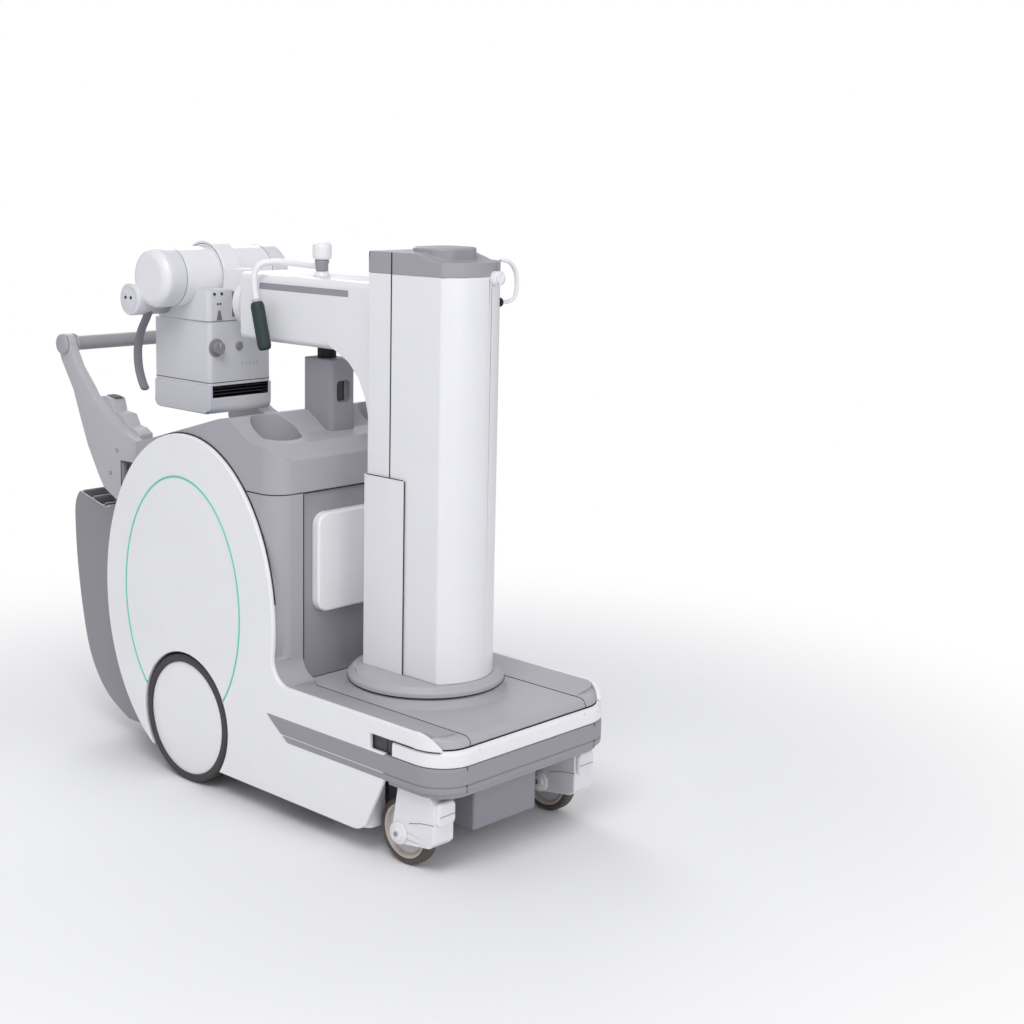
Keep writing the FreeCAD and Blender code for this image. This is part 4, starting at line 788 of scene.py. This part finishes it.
def caster_pieces():
    foot_x, foot_y = CASTER_FOOT
    axle_x, axle_z = CASTER_AXLE
    boss = [(0.0245, -0.004), (0.0245, 0.0040), (0.0228, 0.0062), (0.0160, 0.0068),
            (0.0152, 0.0098), (0.0136, 0.0106), (0, 0.0106)]
    web = [(0.0500, 0.0), (0.0500, 0.0020), (0.0460, 0.0034), (0.0330, 0.0034),
           (0.0300, 0.0012), (0.0282, 0.0012)]
    for name, side in SIDES:
        body = "caster_" + name
        middle = side * foot_y
        for way in (-1, 1):
            face = (0, way, 0)
            tag = "%s_%s" % (name, "outer" if way == side else "inner")
            turned("fork_boss_" + tag, boss, plane(at(axle_x, middle + way * 30, axle_z), face),
                   PAINT, body)
            screw("axle_bolt_" + tag, at(axle_x, middle + way * 40.6, axle_z), face, body, 0.0055)
            tag = "%s_%d" % (name, 1 if way > 0 else 2)
            # Painted shade: a thin bead marks the real crease in the fork, and its grey stands in
            # for the shade in the fold.
            crease = [at(foot_x + x, middle + way * y, z)
                      for x, y, z in ((66, 30.0, 118), (30, 30.3, 113), (-6, 30.3, 103))]
            seam("fork_crease_shade_" + tag, crease, body, 0.0009, material=KNOB)
            turned("hub_web_" + tag, web, plane(at(axle_x, middle + way * 6.4, axle_z), face),
                   HUB, "caster_roller_" + name, steps=56)
        slab("fork_lobe_" + name, box_outline(0.053, 0.054, 0.014), 0.0175,
             plane(at(foot_x + 58, middle, 139), (1, 0, 0)), PAINT, body, 0.006, 4)
        # Painted shade: a thin bead marks the lobe's real crease, and its grey stands in for the
        # shade in the fold.
        seam("lobe_crease_shade_" + name, [at(foot_x + 75.6, middle + y, 136) for y in (-22, 0, 22)],
             body, 0.0009, material=KNOB)


# Bumper and front strip

FRONT_X = 858
CORNER = 82
NOSE_HALF = 278
DECK_TOP = 302.2


def nose_rings(count, section, rear):
    """Rings round the left front corner, after one at the rear place; section gives (depth,
    height) pairs at a share of the way from the side to the front."""
    rings = []
    for n in range(count + 1):
        share = n / count
        angle = math.radians(90 * (1 - share))
        out = (math.cos(angle), math.sin(angle))
        rings.append([(FRONT_X - CORNER + (CORNER - depth) * out[0],
                       NOSE_HALF - CORNER + (CORNER - depth) * out[1], height)
                      for depth, height in section(share)])
    return [[(rear, y, z) for _, y, z in rings[0]]] + rings


def mirrored(rings, side):
    return [[(x, side * y, z) for x, y, z in ring] for ring in rings]


def cover_tips():
    """The white covers' front ends, drawn down round the corner of the deck."""
    def section(share):
        turn = min(share / 0.5, 1)
        top = 316 - 31 * turn ** 2.2
        return [(12, 281.8), (0, 281.8), (0, top - 1.6), (1.2, top), (12 - 2 * turn, top)]
    rings = nose_rings(20, section, 773)[:12]
    for name, side in SIDES:
        skin("cover_tip_" + name, mirrored(rings, side), WHITE, 0.0012)


def deck_lip():
    """The deck's rounded front edge that reaches down to the white strip."""
    def section(share):
        lift = 12 * (1 - share) ** 1.4
        return [(12.6, 283.6), (12.6, 288 + lift), (14.8, 294.5 + lift), (20, 299.4 + lift),
                (28, 301.6 + lift * 0.8), (44, DECK_TOP + lift * 0.35), (58, 299), (58, 283.6)]
    left = nose_rings(16, section, 769)
    skin("deck_lip", mirrored(left, -1) + left[::-1], DECK, 0.0006)


def toe_returns():
    """The inner faces of the skirts in front of the casters' sweep."""
    plan = [(470, 266), (470, 206), (608, 206), (618, 208), (625, 214), (628, 223), (628, 244),
            (626, 254), (620, 262), (610, 266)]
    rings = [[(x, y, z) for x, y in plan] for z in (58, 178)]
    for name, side in SIDES:
        skin("toe_return_" + name, mirrored(rings, side), WHITE, 0.004, 3)


def bumper_rails():
    low, high, inner = 190, 245, 11
    rear_slant = 76 / (high - low)
    profile = [(inner, low), (3.0, low), (1.2, 191.2), (0.4, 194), (0.4, 203.2), (2.6, 204.2),
               (2.6, 206.0), (0.0, 207.2), (0.0, 236), (0.8, 241.5), (2.8, high), (inner, high)]
    piece = rail("bumper_rail", u_path(302, 280, CORNER, FRONT_X), profile, SLATE,
                 slant=lambda height: (high - height) * rear_slant)
    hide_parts("bumper_band")
    profile = [(12, 247), (1.6, 247), (0, 249), (0, 271), (1.2, 276), (4, 279.4), (8, 280.8),
               (12, 281)]
    strip = rail("front_rail", u_path(710, NOSE_HALF, CORNER, FRONT_X), profile, WHITE)
    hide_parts("front_strip")
    profile = [(10, 178), (1.5, 178), (0, 180), (0, 190), (10, 190)]
    rail("bumper_lip", u_path(690, 268, CORNER - 10, FRONT_X - 10), profile, CAP)
    for name, side in SIDES:
        seam("bumper_joint_" + name, [at(856.4, side * 204, z) for z in (190.4, 218, 244.6)],
             "cart", 0.0012)
        seam("strip_joint_" + name, [at(857.2, side * 168, z) for z in (248, 264, 276)],
             "cart", 0.0006, material=KNOB)
        turn = arc_points((776, side * 196), 81.8, side * 84, side * 48, 6)
        under = [(x, side * 277.8) for x in (711, 745, 776)] + turn
        seam("cover_under_" + name, [at(x, y, 281.3) for x, y in under], "cart", 0.0013)
        seam("notch_edge_" + name, [at(690, side * 272, z) for z in (250, 278)], "cart", 0.0014)
        slab("notch_floor_" + name, box_outline(0.068, 0.033), 0.0012,
             plane(at(676, side * 258, 264), (0, side, 0)), GAP, "cart")


# Deck

def deck_details():
    deck = ((322, DECK_TOP), (540, DECK_TOP), (800, DECK_TOP), (816, 302.5), (830, 301.8),
            (838, 299.6), (843.4, 294.6), (845.6, 288), (845.6, 284))
    joint = [(70, 266.2), (268, 266.2)]
    joint += [(268 + 52 * math.sin(math.radians(a)), 214 + 52.2 * math.cos(math.radians(a)))
              for a in range(10, 100, 10)] + [(320.2, 186)]
    rim = [oval_out(math.radians(4.5 * n), 1.0) for n in range(2, 33)]
    for name, side in SIDES:
        seam("deck_seam_" + name, [at(x, side * 184, z) for x, z in deck], "cart", 0.0009)
        seam("body_seam_" + name, [at(x, side * y, 737) for x, y in joint], "cart")
        seam("panel_seam_" + name, [at(319.4, side * 182.9, z) for z in (304, 500, 735)], "cart",
             0.0015)
        seam("cover_gap_" + name, [at(x, side * 266.9, z) for x, z in rim], "cart", 0.0018)
    seam("panel_top_seam", [at(319.4, y, 735.4) for y in (-183, 0, 183)], "cart", 0.0015)


# Console

CONSOLE_HIGH = (120, 888)
CONSOLE_DIP = (-140, 812)
CONSOLE_LOW = (-372, 748)


def on_console(x, y, lift=0.0):
    """A frame on the console's glass, x forward of the axle and y to the left, third axis out."""
    front, rear = ((CONSOLE_HIGH, CONSOLE_DIP) if x > CONSOLE_DIP[0]
                   else (CONSOLE_DIP, CONSOLE_LOW))
    slope = (front[1] - rear[1]) / (front[0] - rear[0])
    height = rear[1] + (x - rear[0]) * slope
    out = Vector((-slope, 0, 1)).normalized()
    return plane(at(x, y, height) + out * lift, out, (1, 0, 0))


def screen_finish(name, colour, strength):
    material = finish(name, colour, 0.12, relief=0.000002, coat=0.4)
    tree = material.node_tree
    feed(tree, tree.nodes["Principled BSDF"], {"Emission Color": (*colour, 1),
                                               "Emission Strength": strength})
    return material


def film_finish():
    """A plain grey-scale picture: a pale field with two soft dark lobes and faint bands."""
    material = screen_finish("screen_film", linear(190, 188, 184), 0.25)
    tree = material.node_tree
    place = add_shader(tree, "TexCoord").outputs["Object"]
    middle = on_console(-170, 10).translation
    lobes = []
    for side in (-1, 1):
        shift = add_shader(tree, "Mapping", {
            "Vector": place, "Location": middle + Vector((0.012, side * 0.036, 0)),
            "Scale": (0.085, 0.040, 0.2)}, vector_type="TEXTURE")
        lobes.append(add_shader(tree, "TexGradient", {"Vector": shift.outputs["Vector"]},
                                gradient_type="QUADRATIC_SPHERE"))
    both = add_shader(tree, "Math", {n: lobe.outputs["Fac"] for n, lobe in enumerate(lobes)},
                      operation="ADD")
    bands = add_shader(tree, "TexWave", {"Scale": 26, "Distortion": 2.5, "Vector": place})
    soft = add_shader(tree, "Math", {0: bands.outputs["Fac"], 1: 0.06, 2: both.outputs[0]},
                      operation="MULTIPLY_ADD")
    ramp = add_shader(tree, "ValToRGB", {"Fac": soft.outputs[0]})
    pale, dark = ramp.color_ramp.elements
    pale.color = (*linear(206, 204, 199), 1)
    dark.color = (*linear(60, 58, 56), 1)
    dark.position = 0.62
    feed(tree, tree.nodes["Principled BSDF"], {"Base Color": ramp.outputs["Color"],
                                               "Emission Color": ramp.outputs["Color"]})
    return material


BASE_LIFT = 0.0001
PANE_LIFT = 0.0004
KEY_LIFT = 0.0007


def tile(name, x0, x1, y0, y1, lift, material, radius=0.0):
    """A thin pane on the console glass between two places along X and two along Y."""
    where = on_console((x0 + x1) / 2, (y0 + y1) / 2, lift)
    outline = box_outline(abs(y1 - y0) / 1000, abs(x1 - x0) / 1000 * 1.03, radius, 4)
    slab(name, outline, 0.0002, where, material, "cart")


def dot(name, x, y, lift, radius, material, steps):
    turned(name, [(radius, 0), (radius, 0.0003), (0, 0.0003)], on_console(x, y, lift), material,
           "cart", steps)


def console_details():
    dark = screen_finish("screen_dark", linear(14, 14, 18), 0.1)
    navy = screen_finish("screen_navy", linear(38, 50, 84), 0.3)
    panel = screen_finish("screen_panel", linear(122, 132, 168), 0.35)
    pale = screen_finish("screen_pale", linear(172, 178, 200), 0.35)
    bar = screen_finish("screen_bar", linear(88, 92, 104), 0.3)
    amber = screen_finish("screen_amber", linear(214, 162, 78), 0.35)
    film = film_finish()
    tile("screen_base_front", 8, -139, 132, -132, BASE_LIFT, dark)
    tile("screen_base_rear", -141, -326, 132, -132, BASE_LIFT, dark)
    for name, x0, x1, y0, y1, material in (
            ("screen_title", 6, -8, 130, -130, bar), ("screen_tools", -12, -92, 130, 78, navy),
            ("screen_film_front", -14, -139, 70, -52, film),
            ("screen_film_rear", -141, -292, 70, -52, film),
            ("screen_side_front", -12, -139, -58, -130, panel),
            ("screen_side_rear", -141, -300, -58, -130, panel),
            ("screen_foot", -302, -324, 130, -130, bar)):
        tile(name, x0, x1, y0, y1, PANE_LIFT, material)
    for row in range(4):
        for column in range(2):
            x, y = -20 - row * 18, 122 - column * 24
            tile("tool_icon_%d_%d" % (row + 1, column + 1), x, x - 10, y, y - 14, KEY_LIFT, pale,
                 0.002)
    rows = ((-20, -96), (-36, -120), (-54, -104), (-78, -124), (-98, -88), (-118, -112),
            (-160, -118), (-178, -100))
    for n, (x, y) in enumerate(rows, 1):
        tile("side_row_%d" % n, x, x - 9, -62, y, KEY_LIFT, navy, 0.001)
    for n in range(3):
        y = -68 - n * 18
        tile("side_key_%d" % (n + 1), -206, -220, y, y - 12, KEY_LIFT, dark, 0.002)
    tile("side_button_amber", -252, -266, -104, -126, KEY_LIFT, amber, 0.002)
    tile("side_button_pale", -252, -266, -76, -98, KEY_LIFT, pale, 0.002)
    for n in range(9):
        y = 122 - n * 19
        tile("foot_key_%d" % (n + 1), -308, -318, y, y - 12, KEY_LIFT, navy if n % 3 else pale,
             0.002)
    dot("foot_dial", -313, -112, KEY_LIFT, 0.0085, pale, 32)
    for row in range(3):
        for column in range(15):
            if (row * 7 + column * 5) % 4:
                dot("status_dot_%d_%d" % (row + 1, column + 1), 74 - row * 13, 62 - column * 12.5,
                    BASE_LIFT, 0.0013, pale if (row + column) % 3 else amber, 12)
    where = on_console(56, 154)
    ring = [where @ Vector((0.0125 * c, 0.0125 * s, 0.0002)) for c, s in round_steps(48)]
    seam("power_ring", ring, "cart", 0.0006, closed=True, material=pale)
    edges = {"front": [(96.3, y) for y in (-172, 172)],
             "side_1": [(x, 172.3) for x in (96, -138, -142, -360)],
             "side_2": [(x, -172.3) for x in (96, -138, -142, -360)]}
    for name, line in edges.items():
        seam("glass_seam_" + name, [on_console(x, y).translation for x, y in line], "cart", 0.0007)


# Rest post, rear panel, handle ends and bin

PANEL_TOP = (-372, 742)
PANEL_LOW = (-332, 622)
PANEL_OUT = 15
STOP_PLACE = (16, 105)
SWITCH_PLACE = (8, 166)
PUSH_BAR = (-525, 1003)
CHEEK_IN = 226
CHEEK_OUT = 250


def panel_frame(up, across, lift=0.0):
    """A frame on the dark rear panel, third axis out of it."""
    top, low = Vector(PANEL_TOP), Vector(PANEL_LOW)
    way = (top - low).normalized()
    out = Vector((-way.y, way.x))
    spot = (top + low) / 2 + out * (PANEL_OUT + lift) + way * up
    return plane(at(spot.x, across, spot.y), (out.x, 0, out.y))


def post_details():
    where = plane(at(240 - 13.6, 8, 940), (1, 0, 0))
    slab("socket_floor", box_outline(0.026, 0.044, 0.003), 0.0010, where, BLACK, "cart",
         0.0002, 2)


def rear_details():
    where = panel_frame(*STOP_PLACE)
    turned("stop_collar", [(0.0085, 0), (0.0225, 0), (0.0225, 0.003), (0.0205, 0.0045),
                           (0.0085, 0.0045)], where, SLATE, "cart")
    yellow = finish("stop_ring", linear(214, 172, 52), 0.4)
    turned("stop_plate", [(0.0085, 0), (0.0275, 0), (0.0275, 0.0012), (0.0085, 0.0012)], where,
           yellow, "cart")
    turned("switch_rim", [(0.0182, 0.0195), (0.0232, 0.0195), (0.0238, 0.0215), (0.0225, 0.0232),
                          (0.0190, 0.0232), (0.0182, 0.0215)], panel_frame(*SWITCH_PLACE), WHITE,
           "cart", steps=56)
    turned("switch_button", [(0.0095, -0.001), (0.0095, 0.002), (0.0080, 0.0032), (0, 0.0036)],
           panel_frame(*SWITCH_PLACE, 46), HUB, "switch")
    where = panel_frame(0, 0)
    slab("rear_plate", box_outline(0.400, 0.092, 0.012), 0.0008, where, BLACK, "cart",
         0.0004, 2)
    out = where.to_3x3() @ Vector((0, 0, 1))
    corners = ((0.190, 0.038), (-0.190, 0.038), (0.190, -0.038), (-0.190, -0.038))
    for n, (across, up) in enumerate(corners, 1):
        screw("rear_screw_%d" % n, where @ Vector((across, up, 0.0008)), out, "cart", 0.0035)
    for name, side in SIDES:
        cheek_pieces(name, side)


def cheek_pieces(name, side):
    """What sits on one of the cheeks that carry the push handle."""
    bar_x, bar_z = PUSH_BAR
    turned("bar_end_" + name, [(0.0258, -0.001), (0.0258, 0.003), (0.0240, 0.0065),
                               (0.0195, 0.0085), (0.0, 0.0092)],
           plane(at(bar_x, side * CHEEK_OUT, bar_z), (0, side, 0)), GREY, "cart",
           steps=56)
    turned("bar_collar_" + name, [(0.0255, -0.001), (0.0250, 0.008), (0.0225, 0.013),
                                  (0.0181, 0.0145)],
           plane(at(bar_x, side * CHEEK_IN, bar_z), (0, -side, 0)), GREY, "cart",
           steps=56)
    seam("cheek_seam_" + name, [at(x, side * (CHEEK_OUT + 0.2), z) for x, z in (
        (-284, 640), (-284, 737), (-201, 737))], "cart", 0.0009)
    for n, (x, z) in enumerate(((-330, 700), (-300, 760)), 1):
        screw("cheek_screw_%s_%d" % (name, n), at(x, side * CHEEK_OUT, z), (0, side, 0), "cart",
              0.0045)
    # Painted shade: the slot on top of the ear is a real recess, drawn as a flat dark plate that
    # stands in for the shade inside it.
    where = plane(at(-368, side * 206, 883.4), (0.08, 0, 1), (1, 0, 0))
    slab("ear_slot_shade_" + name, box_outline(0.026, 0.040, 0.005), 0.0008, where, GAP, "cart")


BIN_HALF = 200
BIN_WALL = 9


def bin_shell():
    """The bin's curved shell: a comb-shaped middle that leaves the slots open, and two ends."""
    back = smooth_line([(-344, 0, 52), (-427, 0, 92), (-483, 0, 147), (-520, 0, 218),
                        (-546, 0, 326), (-562, 0, 437), (-568, 0, 548), (-562, 0, 592),
                        (-546, 0, 617)], 6)
    back = [(max(spot.x, -567.9), spot.z) for spot in back]
    front = [(-430, 590), (-340, 622), (-284, 622), (-284, 52)]
    slots = [(-537, 614.9), (-537, 345), (-499, 345), (-499, 606.1), (-490, 604), (-490, 250),
             (-452, 250), (-452, 595.1)]
    inner = BIN_HALF - BIN_WALL
    rings = [[(x, y, z) for x, z in back + slots + front] for y in (-inner, inner)]
    middle = skin("bin_middle", rings, BIN, 0)
    middle.data.set_sharp_from_angle(angle=math.radians(30))
    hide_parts("detector_bin")
    rings = [[(x, y, z) for x, z in back + front] for y in (inner, BIN_HALF - 0.1)]
    for name, side in SIDES:
        skin("bin_end_" + name, mirrored(rings, side), BIN, 0.004, 3)


def bin_details():
    bin_shell()
    half = BIN_HALF - BIN_WALL - 0.4
    for name, rear, floor in (("outer", -537, 345), ("inner", -490, 250)):
        open_box("bin_lining_" + name, ((rear + 0.4, rear + 37.6), (-half, half),
                                        (floor + 0.4, 588)),
                 "top", 0.0006, BLACK, "cart")
    # Painted highlight: light grey beads along the top edges of the dividers stand in for the
    # light those rounded edges catch.
    for n, (x, z) in enumerate(((-541, 617.2), (-494.5, 607.2), (-447, 596.2)), 1):
        seam("bin_edge_highlight_%d" % n, [at(x, y, z) for y in (-188, 0, 188)], "cart", 0.0022,
             material=HUB)


for step in (make_camera, make_studio, dress_nodes, oval_covers, column_details, lever_pieces,
             head_pieces, caster_pieces, bumper_rails, cover_tips, deck_lip, toe_returns,
             deck_details, console_details, post_details, rear_details, bin_details):
    step()
